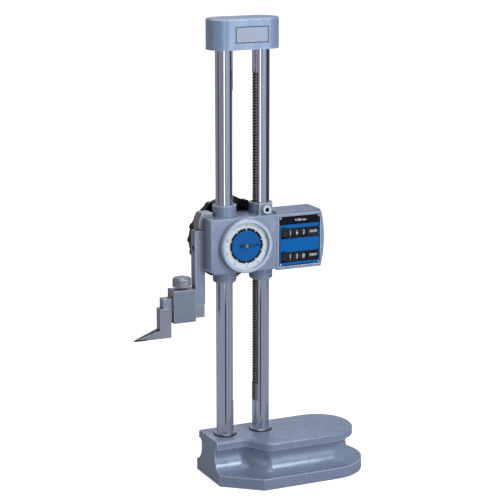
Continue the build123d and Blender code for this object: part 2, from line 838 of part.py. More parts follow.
with BuildPart() as pointer:
    with BuildSketch(front_plane(pointer_back)):
        with Locations((dial_x, dial_z)):
            Polygon(
                (0, pointer_root_width / 2),
                (pointer_length, pointer_tip_width / 2),
                (pointer_length, -pointer_tip_width / 2),
                (0, -pointer_root_width / 2),
                align=None,
            )
            Polygon(
                (0, pointer_root_width / 2),
                (-pointer_tail, pointer_root_width),
                (-pointer_tail, -pointer_root_width),
                (0, -pointer_root_width / 2),
                align=None,
            )
            Circle(pointer_hub_radius)
    extrude(amount=pointer_thickness)
save(pointer.part, "pointer")

# Bezel: turned ring that runs on the cover's boss and holds the dial face and the crystal.
with BuildPart() as bezel:
    with BuildSketch(axial_plane(dial_x, dial_z)):
        with BuildLine():
            Polyline(
                (dial_boss_radius + running_gap, bezel_back),
                (bezel_radius, bezel_back),
                (bezel_radius, bezel_front + bezel_chamfer),
                (bezel_radius - bezel_chamfer, bezel_front),
                (bezel_radius - bezel_lip_width, bezel_front),
                (bezel_radius - bezel_lip_width, crystal_front),
                (dial_face_radius, crystal_front),
                (dial_face_radius, dial_face_back),
                (dial_boss_radius + running_gap, dial_face_back),
                close=True,
            )
        make_face()
    revolve(axis=front_axis(dial_x, dial_z))
save(bezel.part, "bezel")

with BuildPart() as dial_face:
    with BuildSketch(front_plane(dial_face_back)):
        with Locations((dial_x, dial_z)):
            Circle(dial_face_radius)
            Circle(dial_face_hole, mode=Mode.SUBTRACT)
    extrude(amount=dial_face_thickness)
save(dial_face.part, "dial_face")

with BuildPart() as dial_crystal:
    with BuildSketch(front_plane(crystal_back)):
        with Locations((dial_x, dial_z)):
            Circle(dial_face_radius)
    extrude(amount=crystal_thickness)
save(dial_crystal.part, "dial_crystal")

# ---------------------------------------------------------------- counter box
# Housing: a deep tray open to the front, with a bowed right side, a ledge for the fascia, and two
# posts inside for the counter frame.
with BuildPart() as counter_housing:
    with BuildSketch(front_plane(box_back)):
        with BuildLine():
            Line((body_right, box_bottom), (box_right, box_bottom))
            ThreePointArc(
                (box_right, box_bottom),
                (box_right + box_bulge, (box_bottom + box_top) / 2),
                (box_right, box_top),
            )
            Line((box_right, box_top), (body_right, box_top))
            Line((body_right, box_top), (body_right, box_bottom))
        make_face()
    extrude(amount=box_back - box_front)
    chamfer(counter_housing.faces().sort_by(Axis.Y)[-1].edges(), box_edge_chamfer)
    front_edges = counter_housing.faces().sort_by(Axis.Y)[0].edges().sort_by(Axis.Z)
    chamfer(front_edges[-1], box_top_bevel)
    fascia_middle_x = (fascia_left + fascia_right) / 2
    fascia_middle_z = (fascia_top + fascia_bottom) / 2
    with BuildSketch(front_plane(fascia_back)):
        with Locations((fascia_middle_x, fascia_middle_z)):
            RectangleRounded(
                fascia_right - fascia_left + 2 * seat_gap,
                fascia_top - fascia_bottom + 2 * seat_gap,
                fascia_round,
            )
    extrude(amount=fascia_thickness, mode=Mode.SUBTRACT)
    with BuildSketch(front_plane(box_back - box_wall)):
        with Locations((cavity_left, fascia_middle_z)):
            RectangleRounded(
                fascia_right - fascia_ledge - cavity_left,
                fascia_top - fascia_bottom - 2 * fascia_ledge,
                cavity_corner,
                align=(Align.MIN, Align.CENTER),
            )
    extrude(amount=box_back - box_wall - fascia_back, mode=Mode.SUBTRACT)
    with BuildSketch(front_plane(fascia_back + fascia_boss_depth)):
        with Locations(*fascia_boss_places):
            Circle(fascia_boss_radius)
    extrude(amount=fascia_boss_depth)
    with BuildSketch(front_plane(box_back - box_wall)):
        with Locations(*frame_post_places):
            Circle(frame_post_radius)
    extrude(amount=box_back - box_wall - frame_back)
    # the slider's right collar lies in a groove of the left wall; screws hold the wall to the body
    with BuildSketch(Plane.XY.offset(box_bottom)):
        with Locations((column_x, 0)):
            Circle(collar_radius + seat_gap)
    extrude(amount=box_top - box_bottom, mode=Mode.SUBTRACT)
    with BuildSketch(Plane.YZ.offset(body_right)):
        with Locations(*housing_screw_places):
            Circle(housing_screw_radius + seat_gap)
    extrude(amount=cavity_left - body_right, mode=Mode.SUBTRACT)
save(counter_housing.part, "counter_housing")

with BuildPart() as housing_screws:
    with BuildSketch(Plane.YZ.offset(body_right - housing_screw_grip + clear_gap)):
        with Locations(*housing_screw_places):
            Circle(housing_screw_radius)
    extrude(amount=housing_screw_grip - clear_gap + cavity_left - body_right)
    with BuildSketch(Plane.YZ.offset(cavity_left)):
        with Locations(*housing_screw_places):
            Circle(housing_screw_head)
    extrude(amount=housing_screw_head_height)
save(housing_screws.part, "housing_screws")

# Fascia: the printed panel, with a window for each counter that swells upwards at its left end
# round the reset button.
with BuildPart() as counter_fascia:
    with BuildSketch(front_plane(fascia_back)):
        with Locations((fascia_middle_x, fascia_middle_z)):
            RectangleRounded(fascia_right - fascia_left, fascia_top - fascia_bottom, fascia_round)
        for z in window_heights.values():
            with Locations((window_left, z)):
                Rectangle(
                    window_right - window_left,
                    window_height,
                    align=(Align.MIN, Align.CENTER),
                    mode=Mode.SUBTRACT,
                )
            with Locations((button_x, z + button_rise)):
                SlotOverall(
                    window_height,
                    button_width + 2 * clear_gap,
                    rotation=90,
                    mode=Mode.SUBTRACT,
                )
    extrude(amount=fascia_thickness)
save(counter_fascia.part, "counter_fascia")

# Masks: the black plates behind the windows, each with an opening for the digits. Clear lenses lie
# on them, within the fascia's thickness.
mask_left = cheek_left
with BuildPart() as window_masks:
    for z in window_heights.values():
        with BuildSketch(front_plane(mask_back)):
            with Locations((mask_left, z)):
                Rectangle(
                    window_right + mask_border - mask_left,
                    window_height + 2 * mask_border,
                    align=(Align.MIN, Align.CENTER),
                )
            with Locations((digit_left, z)):
                Rectangle(
                    digits_right - digit_left - digit_wheel_gap,
                    digit_opening_height,
                    align=(Align.MIN, Align.CENTER),
                    mode=Mode.SUBTRACT,
                )
        extrude(amount=mask_thickness)
save(window_masks.part, "window_masks")

with BuildPart() as window_lenses:
    for z in window_heights.values():
        with BuildSketch(front_plane(fascia_back)):
            with Locations((mask_left, z)):
                Rectangle(
                    window_right - seat_gap - mask_left,
                    window_height - 2 * seat_gap,
                    align=(Align.MIN, Align.CENTER),
                )
        extrude(amount=lens_thickness)
save(window_lenses.part, "window_lenses")

# Counter frame: one bent plate, a back with a cheek at each end of the digit wheels.
with BuildPart() as counter_frame:
    frame_bottom = fascia_bottom + fascia_ledge + clear_gap
    frame_height = fascia_top - fascia_bottom - 2 * (fascia_ledge + clear_gap)
    frame_left = cavity_left + clear_gap
    with BuildSketch(front_plane(frame_back)):
        with Locations((frame_left, frame_bottom + clear_gap)):
            Rectangle(
                cheek_right + cheek_thickness - frame_left,
                frame_height - 2 * clear_gap,
                align=(Align.MIN, Align.MIN),
            )
        for z in window_heights.values():
            with Locations((button_x, z)):
                Circle(button_stem_radius + running_gap, mode=Mode.SUBTRACT)
    extrude(amount=cheek_thickness)
    with BuildSketch(front_plane(frame_back)):
        with Locations((cheek_left, frame_bottom), (cheek_right, frame_bottom)):
            Rectangle(cheek_thickness, frame_height, align=(Align.MIN, Align.MIN))
    extrude(amount=frame_back - frame_front)
    for z in window_heights.values():
        with BuildSketch(Plane.YZ.offset(cheek_left)):
            with Locations((digit_axis_y, z)):
                Circle(axle_radius + seat_gap)
        extrude(amount=digits_right + cheek_thickness - cheek_left, mode=Mode.SUBTRACT)
save(counter_frame.part, "counter_frame")

with BuildPart() as counter_axles:
    for z in window_heights.values():
        with BuildSketch(Plane.YZ.offset(cheek_left)):
            with Locations((digit_axis_y, z)):
                Circle(axle_radius)
        extrude(amount=digits_right + cheek_thickness - cheek_left)
save(counter_axles.part, "counter_axles")

# Digit wheels: hundreds, tens and units from left to right, each with ten flats.
for row, z in window_heights.items():
    for place, wheel_name in enumerate(("hundreds", "tens", "units")):
        with BuildPart() as digit_wheel:
            with BuildSketch(Plane.YZ.offset(digit_left + place * digit_pitch)):
                with Locations((digit_axis_y, z)):
                    RegularPolygon(digit_wheel_radius, 10, rotation=18)
                    Circle(axle_radius + running_gap, mode=Mode.SUBTRACT)
            extrude(amount=digit_pitch - digit_wheel_gap)
        save(digit_wheel.part, f"{row}_{wheel_name}_wheel")

# Reset buttons: caps that fill the swollen ends of the windows, on stems guided by the frame.
for row, z in window_heights.items():
    with BuildPart() as reset_button:
        with BuildSketch(front_plane(fascia_front - button_proud + button_depth)):
            with Locations((button_x, z + button_rise)):
                SlotOverall(window_height - 2 * clear_gap, button_width, rotation=90)
        extrude(amount=button_depth)
        chamfer(reset_button.faces().sort_by(Axis.Y)[0].edges(), button_chamfer)
        with BuildSketch(front_plane(frame_back + button_reach)):
            with Locations((button_x, z)):
                Circle(button_stem_radius)
        extrude(amount=frame_back + button_reach - fascia_front)
    save(reset_button.part, f"{row}_reset_button")

# ---------------------------------------------------------------- jaw, clamp and scriber
# Jaw: one ground L, an upright bar bolted to the slider's left side and the arm under it.
with BuildPart() as jaw:
    with BuildSketch(front_plane(jaw_back)):
        with BuildLine():
            Polyline(
                (jaw_left, jaw_top),
                (jaw_right, jaw_top),
                (jaw_right, shank_top),
                (jaw_arm_left, shank_top),
                (jaw_arm_left, arm_top),
                (jaw_left, arm_top),
                close=True,
            )
        make_face()
    extrude(amount=jaw_depth)
    fillet(jaw.edges().filter_by(Axis.Y).group_by(Axis.Z)[-1].sort_by(Axis.X)[0], jaw_bar_round)
    with BuildSketch(Plane.YZ.offset(jaw_left)):
        with Locations((jaw_middle_y, jaw_screw_z)):
            Circle(jaw_screw_radius + seat_gap)
    extrude(amount=jaw_bar_width, mode=Mode.SUBTRACT)
    with BuildSketch(Plane.YZ.offset(jaw_left)):
        with Locations((jaw_middle_y, jaw_screw_z)):
            Circle(jaw_screw_head + seat_gap)
    extrude(amount=jaw_screw_recess + jaw_screw_head_height, mode=Mode.SUBTRACT)
save(jaw.part, "jaw")

with BuildPart() as jaw_screw:
    with BuildSketch(Plane.YZ.offset(jaw_left + jaw_screw_recess)):
        with Locations((jaw_middle_y, jaw_screw_z)):
            Circle(jaw_screw_head)
    extrude(amount=jaw_screw_head_height)
    with BuildSketch(Plane.YZ.offset(jaw_left + jaw_screw_recess)):
        with Locations((jaw_middle_y, jaw_screw_z)):
            Circle(jaw_screw_radius)
    extrude(amount=jaw_bar_width - jaw_screw_recess + jaw_screw_grip - clear_gap)
    with BuildSketch(Plane.YZ.offset(jaw_left + jaw_screw_recess)):
        with Locations((jaw_middle_y, jaw_screw_z)):
            RegularPolygon(jaw_screw_head / 2, 6)
    extrude(amount=jaw_screw_head_height / 2, mode=Mode.SUBTRACT)
save(jaw_screw.part, "jaw_screw")

# Jaw bracket: a casting on the slider's left side, behind the bar and over its top.
with BuildPart() as jaw_bracket:
    bracket_top = dial_z + bracket_top_above
    with BuildSketch(front_plane(bracket_back)):
        with BuildLine():
            Polyline(
                (body_left, bracket_top),
                (bracket_left + bracket_corner_cut * 0.6, bracket_top),
                (bracket_left, bracket_top - bracket_corner_cut),
                (bracket_left, dial_z - bracket_below_dial),
                (body_left, dial_z - bracket_below_dial),
                close=True,
            )
        make_face()
    extrude(amount=bracket_thickness)
    with BuildSketch(front_plane(bracket_back)):
        with BuildLine():
            Polyline(
                (body_left, bracket_top),
                (bracket_left + bracket_corner_cut * 0.6, bracket_top),
                (bracket_left, bracket_top - bracket_corner_cut),
                (bracket_left, jaw_top + clear_gap),
                (body_left, jaw_top + clear_gap),
                close=True,
            )
        make_face()
    extrude(amount=bracket_back - bracket_front)
    with BuildSketch(front_plane(bracket_back)):
        with Locations((body_left, body_top)):
            Rectangle(
                bracket_tongue,
                bracket_top - body_top,
                align=(Align.MIN, Align.MIN),
            )
    extrude(amount=bracket_back - bracket_front)
    with BuildSketch(Plane.YZ.offset(bracket_left)):
        with Locations(*bracket_screw_places):
            Circle(bracket_screw_radius + seat_gap)
    extrude(amount=body_left - bracket_left, mode=Mode.SUBTRACT)
    with BuildSketch(Plane.YZ.offset(bracket_left)):
        with Locations(*bracket_screw_places):
            Circle(bracket_screw_head + seat_gap)
    extrude(amount=bracket_screw_head_height, mode=Mode.SUBTRACT)
save(jaw_bracket.part, "jaw_bracket")

with BuildPart() as bracket_screws:
    with BuildSketch(Plane.YZ.offset(bracket_left)):
        with Locations(*bracket_screw_places):
            Circle(bracket_screw_radius)
    extrude(amount=body_left - bracket_left + bracket_screw_grip - clear_gap)
    with BuildSketch(Plane.YZ.offset(bracket_left)):
        with Locations(*bracket_screw_places):
            Circle(bracket_screw_head)
    extrude(amount=bracket_screw_head_height)
    with BuildSketch(Plane.YZ.offset(bracket_left)):
        with Locations(*bracket_screw_places):
            RegularPolygon(bracket_screw_head / 2, 6)
    extrude(amount=bracket_screw_head_height * 0.6, mode=Mode.SUBTRACT)
save(bracket_screws.part, "bracket_screws")

# Scriber: a ground bar under the arm with a leg and a chisel toe, and a carbide insert let into
# the underside of the toe's end.
# The toe narrows from the rear only, so that the point lies in the front face.
toe_top_z = scriber_height + scriber_toe_height
insert_x = scriber_tip_x + tip_insert_length
with BuildPart() as scriber_blank:
    with BuildSketch(front_plane(jaw_back)):
        with BuildLine():
            Polyline(
                (scriber_right, shank_top),
                (scriber_left, shank_top),
                (scriber_left, toe_top_z),
                (scriber_tip_x, scriber_height + scriber_tip_height),
                (scriber_tip_x, scriber_height),
                (leg_right, scriber_height),
                (leg_right, shank_bottom),
                (scriber_right, shank_bottom),
                close=True,
            )
        make_face()
    extrude(amount=jaw_depth)
    with BuildSketch(Plane.XY.offset(scriber_height)):
        with BuildLine():
            Polyline(
                (scriber_left, jaw_back),
                (scriber_tip_x, jaw_front + scriber_tip_width),
                (scriber_tip_x - scriber_tip_width, jaw_back),
                close=True,
            )
        make_face()
    extrude(amount=scriber_toe_height, mode=Mode.SUBTRACT)

with BuildPart() as insert_seat:
    with BuildSketch(Plane.XY.offset(scriber_height)):
        with Locations((insert_x, jaw_middle_y)):
            Rectangle(
                tip_insert_length + scriber_tip_width,
                jaw_depth,
                align=(Align.MAX, Align.CENTER),
            )
    extrude(amount=tip_insert_thickness)

with BuildPart() as scriber:
    add(scriber_blank.part)
    add(insert_seat.part, mode=Mode.SUBTRACT)
save(scriber.part, "scriber")

with BuildPart() as scriber_tip:
    add(scriber_blank.part)
    add(insert_seat.part, mode=Mode.INTERSECT)
save(scriber_tip.part, "scriber_tip")

# Clamp: a box frame round the arm and the scriber's shank, a brass pad on the arm, and a knobbed
# screw through the roof that draws the frame up.
with BuildPart() as clamp_frame:
    clamp_half_depth = jaw_depth / 2 + clear_gap
    with BuildSketch(Plane.YZ.offset(clamp_left)):
        with Locations((jaw_middle_y, shank_bottom - clamp_floor)):
            Rectangle(
                2 * (clamp_half_depth + clamp_wall),
                clamp_top - shank_bottom + clamp_floor,
                align=(Align.CENTER, Align.MIN),
            )
        with Locations((jaw_middle_y, shank_bottom)):
            Rectangle(
                2 * clamp_half_depth,
                clamp_inner_top - shank_bottom,
                align=(Align.CENTER, Align.MIN),
                mode=Mode.SUBTRACT,
            )
    extrude(amount=clamp_right - clamp_left)
    chamfer(clamp_frame.faces().sort_by(Axis.Z)[-1].edges(), clamp_round)
    with BuildSketch(Plane.XY.offset(clamp_inner_top)):
        with Locations((clamp_middle_x, jaw_middle_y)):
            Circle(clamp_screw_radius + running_gap)
    extrude(amount=clamp_roof, mode=Mode.SUBTRACT)
save(clamp_frame.part, "clamp_frame")

with BuildPart() as pressure_pad:
    with BuildSketch(Plane.XY.offset(arm_top)):
        with Locations((clamp_middle_x, jaw_middle_y)):
            Rectangle(clamp_right - clamp_left - 2 * pad_inset, jaw_depth - clear_gap)
    extrude(amount=pad_height - running_gap)
save(pressure_pad.part, "pressure_pad")

with BuildPart() as clamp_screw:
    with BuildSketch(Plane.XY.offset(clamp_inner_top)):
        with Locations((clamp_middle_x, jaw_middle_y)):
            Circle(clamp_screw_radius)
    extrude(amount=knob_bottom - clamp_inner_top)
    with BuildSketch(Plane.XY.offset(knob_bottom)):
        with Locations((clamp_middle_x, jaw_middle_y)):
            RegularPolygon(clamp_knob_radius, knob_flat_count, major_radius=False)
            Circle(clamp_knob_radius * clamp_knob_overlap, mode=Mode.INTERSECT)
    extrude(amount=clamp_knob_height)
    knob_top = clamp_screw.faces().sort_by(Axis.Z)[-1]
    chamfer(knob_top.edges(), clamp_knob_chamfer)
    with BuildSketch(Plane.XY.offset(knob_bottom + clamp_knob_height)):
        with Locations((clamp_middle_x, jaw_middle_y)):
            Rectangle(3 * clamp_knob_radius, knob_slot_width)
    extrude(amount=-knob_slot_depth, mode=Mode.SUBTRACT)
save(clamp_screw.part, "clamp_screw")

# ---------------------------------------------------------------- slider lock
# A socket screw in the boss of the right collar presses a brass shoe on the column.
lock_shoe_back = -column_radius - running_gap
with BuildPart() as lock_shoe:
    with BuildSketch(front_plane(lock_shoe_back)):
        with Locations((column_x, lock_z)):
            Circle(lock_screw_radius)
    extrude(amount=lock_shoe_thickness)
save(lock_shoe.part, "lock_shoe")

with BuildPart() as lock_screw:
    with BuildSketch(front_plane(lock_shoe_back - lock_shoe_thickness)):
        with Locations((column_x, lock_z)):
            Circle(lock_screw_radius)
    extrude(amount=lock_shoe_back - lock_shoe_thickness - lock_boss_front + clear_gap)
    lock_head_back = lock_boss_front - clear_gap
    with BuildSketch(front_plane(lock_head_back)):
        with Locations((column_x, lock_z)):
            Circle(lock_head_radius)
    extrude(amount=lock_head_height)
    with BuildSketch(front_plane(lock_head_back - lock_head_height)):
        with Locations((column_x, lock_z)):
            RegularPolygon(lock_socket, 6)
    extrude(amount=-lock_head_height * 0.8, mode=Mode.SUBTRACT)
save(lock_screw.part, "lock_screw")

# ---------------------------------------------------------------- handwheel
# Feed shaft: the pinion on the left-hand rack, its nose in the slider body and its tail through
# the flanged bearing to the handwheel.
with BuildPart() as feed_shaft:
    with BuildSketch(front_plane(pinion_width / 2)):
        with Locations((pinion_x, dial_z)):
            Polygon(*gear_points(pinion_teeth, rack_module, tooth_backlash, pi), align=None)
    extrude(amount=pinion_width)
    with BuildSketch(front_plane(0)):
        with Locations((pinion_x, dial_z)):
            Circle(nose_radius)
    extrude(amount=nose_length - pinion_front - clear_gap)
    with BuildSketch(front_plane(wheel_back)):
        with Locations((pinion_x, dial_z)):
            Circle(shaft_radius)
    extrude(amount=wheel_back)
save(feed_shaft.part, "feed_shaft")

with BuildPart() as feed_bearing:
    with BuildSketch(front_plane(body_back)):
        with Locations((pinion_x, dial_z)):
            Circle(pocket_radius - seat_gap)
    extrude(amount=body_back - pinion_rear)
    with BuildSketch(front_plane(body_back + bearing_flange_thickness)):
        with Locations((pinion_x, dial_z)):
            Circle(pocket_radius + bearing_flange_width)
    extrude(amount=bearing_flange_thickness)
    with BuildSketch(front_plane(body_back + bearing_flange_thickness)):
        with Locations((pinion_x, dial_z)):
            Circle(shaft_radius + running_gap)
    extrude(amount=bearing_flange_thickness + body_back, mode=Mode.SUBTRACT)
    # the left column's bore cuts into the side of the spigot
    with BuildSketch(Plane.XY.offset(dial_z - pocket_radius)):
        with Locations((-column_x, 0)):
            Circle(bore_radius)
    extrude(amount=2 * pocket_radius, mode=Mode.SUBTRACT)
save(feed_bearing.part, "feed_bearing")

# Handwheel: moulded, with a lobed rim, a thin web and a hub; a cap closes the hub.
with BuildPart() as handwheel:
    with BuildSketch(front_plane(wheel_back)):
        with Locations((pinion_x, dial_z)):
            Circle(wheel_radius - wheel_lobe_depth)
            with PolarLocations(wheel_radius - wheel_lobe_round, wheel_lobe_count):
                Circle(wheel_lobe_round)
    extrude(amount=wheel_width)
    for y, depth in ((wheel_back, wheel_dish_back), (wheel_front + wheel_dish_front, wheel_dish_front)):
        with BuildSketch(front_plane(y)):
            with Locations((pinion_x, dial_z)):
                Circle(wheel_radius - wheel_rim)
                Circle(wheel_hub_radius, mode=Mode.SUBTRACT)
        extrude(amount=depth, mode=Mode.SUBTRACT)
    with BuildSketch(front_plane(wheel_front)):
        with Locations((pinion_x, dial_z)):
            Circle(wheel_hub_radius)
    extrude(amount=wheel_front - hub_front)
    with BuildSketch(front_plane(wheel_back)):
        with Locations((pinion_x, dial_z)):
            Circle(shaft_radius + seat_gap)
    extrude(amount=wheel_back - hub_front, mode=Mode.SUBTRACT)
save(handwheel.part, "handwheel")

with BuildPart() as handwheel_cap:
    with BuildSketch(front_plane(wheel_back + wheel_cap_height)):
        with Locations((pinion_x, dial_z)):
            Circle(wheel_cap_radius)
    extrude(amount=wheel_cap_height)
    chamfer(handwheel_cap.faces().sort_by(Axis.Y)[-1].edges(), wheel_cap_chamfer)
save(handwheel_cap.part, "handwheel_cap")
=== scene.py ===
import bmesh
import bpy
import numpy as np
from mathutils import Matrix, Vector


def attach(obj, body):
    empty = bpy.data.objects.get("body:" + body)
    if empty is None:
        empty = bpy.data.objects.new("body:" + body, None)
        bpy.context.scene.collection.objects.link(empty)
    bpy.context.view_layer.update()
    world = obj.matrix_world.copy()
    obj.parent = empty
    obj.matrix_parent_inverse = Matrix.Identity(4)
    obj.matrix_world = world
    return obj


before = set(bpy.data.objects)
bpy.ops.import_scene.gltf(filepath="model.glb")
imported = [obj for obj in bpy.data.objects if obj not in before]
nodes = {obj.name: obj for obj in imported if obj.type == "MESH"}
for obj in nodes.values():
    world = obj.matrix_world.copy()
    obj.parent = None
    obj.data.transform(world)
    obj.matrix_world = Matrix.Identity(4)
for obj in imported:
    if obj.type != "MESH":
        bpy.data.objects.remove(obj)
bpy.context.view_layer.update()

# ================================================================ studio
# A white floor, five soft lamps, and a ring of broad cards under a bright ceiling, which only
# polished surfaces see. Bearings are in degrees, 0 in front and 90 at the right. The gaps between
# cards are dark, a strip light stands by the camera, and two pale cards stand below the slider.
FLOOR_REACH = 8.0
SCREEN_RADIUS = 0.2
SCREEN_HEIGHT = 0.66
ROOM_DARK = (0.06, 0.06, 0.08)
GREY_CARD = (0.25, 0.25, 0.3)
BLUE_CARD = (0.35, 0.4, 0.55)
PALE_CARD = (0.3, 0.33, 0.4)
STRIP_LIGHT = (2.0, 2.0, 2.0)
UPPER_CARDS = [
    (-180, -110, GREY_CARD),
    (-90, -40, GREY_CARD),
    (-30, -22, STRIP_LIGHT),
    (-10, 50, BLUE_CARD),
    (110, 180, GREY_CARD),
]
LOWER_CARDS = [(-180, -30, PALE_CARD), (-10, 180, PALE_CARD)]
CARD_EDGE = 4
LOWER_UNTIL = (0.14, 0.24)
PAPER_GREY = 0.5
FLOOR_GLOW = 0.86
FLOOR_TONE = (0.25, 0.27, 0.32)
CEILING_GAP = 0.002
CEILING_GLOW = 1.8
SKY_TINT = (0.93, 0.96, 1.0)
SKY_STRENGTH = 0.36
WHITE = (1.0, 1.0, 1.0)
WARM = (1.0, 0.87, 0.68)
LAMPS = [
    ("front_lamp", (0.5, -1.05, 1.25), 0.35, 0.35, 11.0, WHITE),
    ("fill_lamp", (0.8, -2.1, 0.45), 1.2, 0.8, 18.0, WHITE),
    ("top_lamp", (0.24, -0.52, 2.3), 0.35, 0.35, 2.5, WHITE),
    ("left_lamp", (-2.0, 0.1, 0.9), 1.0, 1.0, 7.5, WARM),
    ("back_lamp", (0.7, 2.3, 1.3), 1.0, 1.0, 12.0, WHITE),
]
LAMP_AIM = (0, 0, 0.22)
CAMERA_SPOT = (-0.7484, -1.6329, 0.6518)
CAMERA_AIM = (0.008577, 0, 0.245455)
CAMERA_LENS = 126.17
SENSOR_WIDTH = 36.0


def grid_faces(rows, columns, closed=False):
    """Quads between neighbouring points of a grid; closed joins the last column to the first."""
    last = columns if closed else columns - 1
    row, column = np.meshgrid(np.arange(rows - 1), np.arange(last), indexing="ij")
    right = (column + 1) % columns
    corners = np.stack(
        [
            row * columns + column,
            row * columns + right,
            (row + 1) * columns + right,
            (row + 1) * columns + column,
        ],
        axis=-1,
    )
    return corners.reshape(-1, 4)


def mesh_object(name, points, faces, smooth=False):
    """A mesh object at the origin from an array of points and an array or a list of faces."""
    mesh = bpy.data.meshes.new(name)
    mesh.from_pydata(points.tolist(), [], faces if isinstance(faces, list) else faces.tolist())
    mesh.polygons.foreach_set("use_smooth", [smooth] * len(mesh.polygons))
    mesh.update()
    thing = bpy.data.objects.new(name, mesh)
    bpy.context.scene.collection.objects.link(thing)
    return thing


def bare_material(name):
    """A node material, its node tree, its Principled shader and the piece's own coordinates."""
    material = bpy.data.materials.new(name)
    material.use_nodes = True
    tree = material.node_tree
    shader = tree.nodes["Principled BSDF"]
    place = tree.nodes.new("ShaderNodeTexCoord").outputs["Object"]
    return material, tree, shader, place


def between(tree, factor, stops):
    """A colour ramp over factor; stops are (position, colour)."""
    ramp = tree.nodes.new("ShaderNodeValToRGB")
    for position, colour in stops[1:-1]:
        ramp.color_ramp.elements.new(position).color = (*colour, 1)
    ramp.color_ramp.elements[0].position = stops[0][0]
    ramp.color_ramp.elements[0].color = (*stops[0][1], 1)
    ramp.color_ramp.elements[-1].position = stops[-1][0]
    ramp.color_ramp.elements[-1].color = (*stops[-1][1], 1)
    tree.links.new(factor, ramp.inputs[0])
    return ramp.outputs["Color"]


def value(tree, operation, first, second=None, third=None):
    """One Math node; numbers go on its sockets and outputs are linked."""
    node = tree.nodes.new("ShaderNodeMath")
    node.operation = operation
    for socket, given in zip(node.inputs, (first, second, third)):
        if given is None:
            continue
        if isinstance(given, (int, float)):
            socket.default_value = given
        else:
            tree.links.new(given, socket)
    return node.outputs[0]


def ranged(tree, factor, low, high, start=0.3, end=0.7):
    """factor, spread to low at start and to high at end."""
    spread = tree.nodes.new("ShaderNodeMapRange")
    spread.inputs["From Min"].default_value = start
    spread.inputs["From Max"].default_value = end
    spread.inputs["To Min"].default_value = low
    spread.inputs["To Max"].default_value = high
    tree.links.new(factor, spread.inputs["Value"])
    return spread.outputs[0]


def axes(tree, place):
    """X, Y and Z of coordinates or of a direction."""
    parts = tree.nodes.new("ShaderNodeSeparateXYZ")
    tree.links.new(place, parts.inputs[0])
    return parts.outputs["X"], parts.outputs["Y"], parts.outputs["Z"]


def emission(tree, strength=1.0):
    """An emission node of that strength and its colour socket."""
    glow = tree.nodes.new("ShaderNodeEmission")
    glow.inputs["Strength"].default_value = strength
    return glow.outputs[0], glow.inputs["Color"]


def either_shader(tree, factor, first, second):
    """first where factor is 0, second where it is 1."""
    mix = tree.nodes.new("ShaderNodeMixShader")
    tree.links.new(factor, mix.inputs[0])
    if first is not None:
        tree.links.new(first, mix.inputs[1])
    tree.links.new(second, mix.inputs[2])
    return mix.outputs[0]


def level_sheet(name, reach, height, count):
    """A level square sheet of count by count points, from -reach to reach."""
    side = np.linspace(-reach, reach, count)
    sheet_x, sheet_y = np.meshgrid(side, side)
    points = np.stack([sheet_x, sheet_y, np.full_like(sheet_x, height)], axis=-1)
    return mesh_object(name, points.reshape(-1, 3), grid_faces(count, count))


floor = level_sheet("studio_floor", FLOOR_REACH, 0.0, 9)
paper, tree, shader, place = bare_material("white_paper")
shader.inputs["Base Color"].default_value = (PAPER_GREY, PAPER_GREY, PAPER_GREY, 1)
shader.inputs["Roughness"].default_value = 0.9
seen = tree.nodes.new("ShaderNodeLightPath")
white_glow, tint = emission(tree, FLOOR_GLOW)
muted_glow, tint = emission(tree)
tint.default_value = (*FLOOR_TONE, 1)
lit = tree.nodes.new("ShaderNodeAddShader")
tree.links.new(shader.outputs[0], lit.inputs[0])
tree.links.new(either_shader(tree, seen.outputs["Is Camera Ray"], None, white_glow), lit.inputs[1])
shown = either_shader(tree, seen.outputs["Is Glossy Ray"], lit.outputs[0], muted_glow)
tree.links.new(shown, tree.nodes["Material Output"].inputs["Surface"])
floor.data.materials.append(paper)

def card_stops(cards):
    """Ramp stops for cards of (first bearing, last bearing, tone), with dark gaps between them."""
    stops = []
    for first, last, tone in cards:
        stops += [(first - CARD_EDGE, ROOM_DARK), (first, tone)]
        stops += [(last, tone), (last + CARD_EDGE, ROOM_DARK)]
    return [((angle + 180) / 360, colour) for angle, colour in stops[1:-1]]


turn = np.radians(np.arange(0, 360, 5))
screen_ring = np.stack([np.sin(turn), -np.cos(turn)], axis=-1) * SCREEN_RADIUS
screen_points = np.concatenate(
    [np.c_[screen_ring, np.full(len(turn), z)] for z in (0.0, SCREEN_HEIGHT)]
)
screen_faces = grid_faces(2, len(turn), closed=True)
screens = mesh_object("studio_screens", screen_points, screen_faces, smooth=True)
screen_light, tree, shader, place = bare_material("screen_light")
x, y, z = axes(tree, place)
bearing = value(tree, "ARCTAN2", x, value(tree, "MULTIPLY", y, -1))
share = ranged(tree, bearing, 0.0, 1.0, -np.pi, np.pi)
upper, lower = [
    between(tree, share, card_stops(cards)) for cards in (UPPER_CARDS, LOWER_CARDS)
]
blend = tree.nodes.new("ShaderNodeMix")
blend.data_type = "RGBA"
tree.links.new(ranged(tree, z, 0.0, 1.0, *LOWER_UNTIL), blend.inputs["Factor"])
tree.links.new(lower, blend.inputs["A"])
tree.links.new(upper, blend.inputs["B"])
glow, tint = emission(tree)
tree.links.new(blend.outputs["Result"], tint)
tree.links.new(glow, tree.nodes["Material Output"].inputs["Surface"])
screens.data.materials.append(screen_light)
ceiling = level_sheet("studio_ceiling", SCREEN_RADIUS, SCREEN_HEIGHT + CEILING_GAP, 3)
ceiling_light, tree, shader, place = bare_material("ceiling_light")
glow, tint = emission(tree, CEILING_GLOW)
tree.links.new(glow, tree.nodes["Material Output"].inputs["Surface"])
ceiling.data.materials.append(ceiling_light)
for panel in (screens, ceiling):
    panel.visible_camera = False
    panel.visible_diffuse = False
    panel.visible_shadow = False
    panel.visible_transmission = False

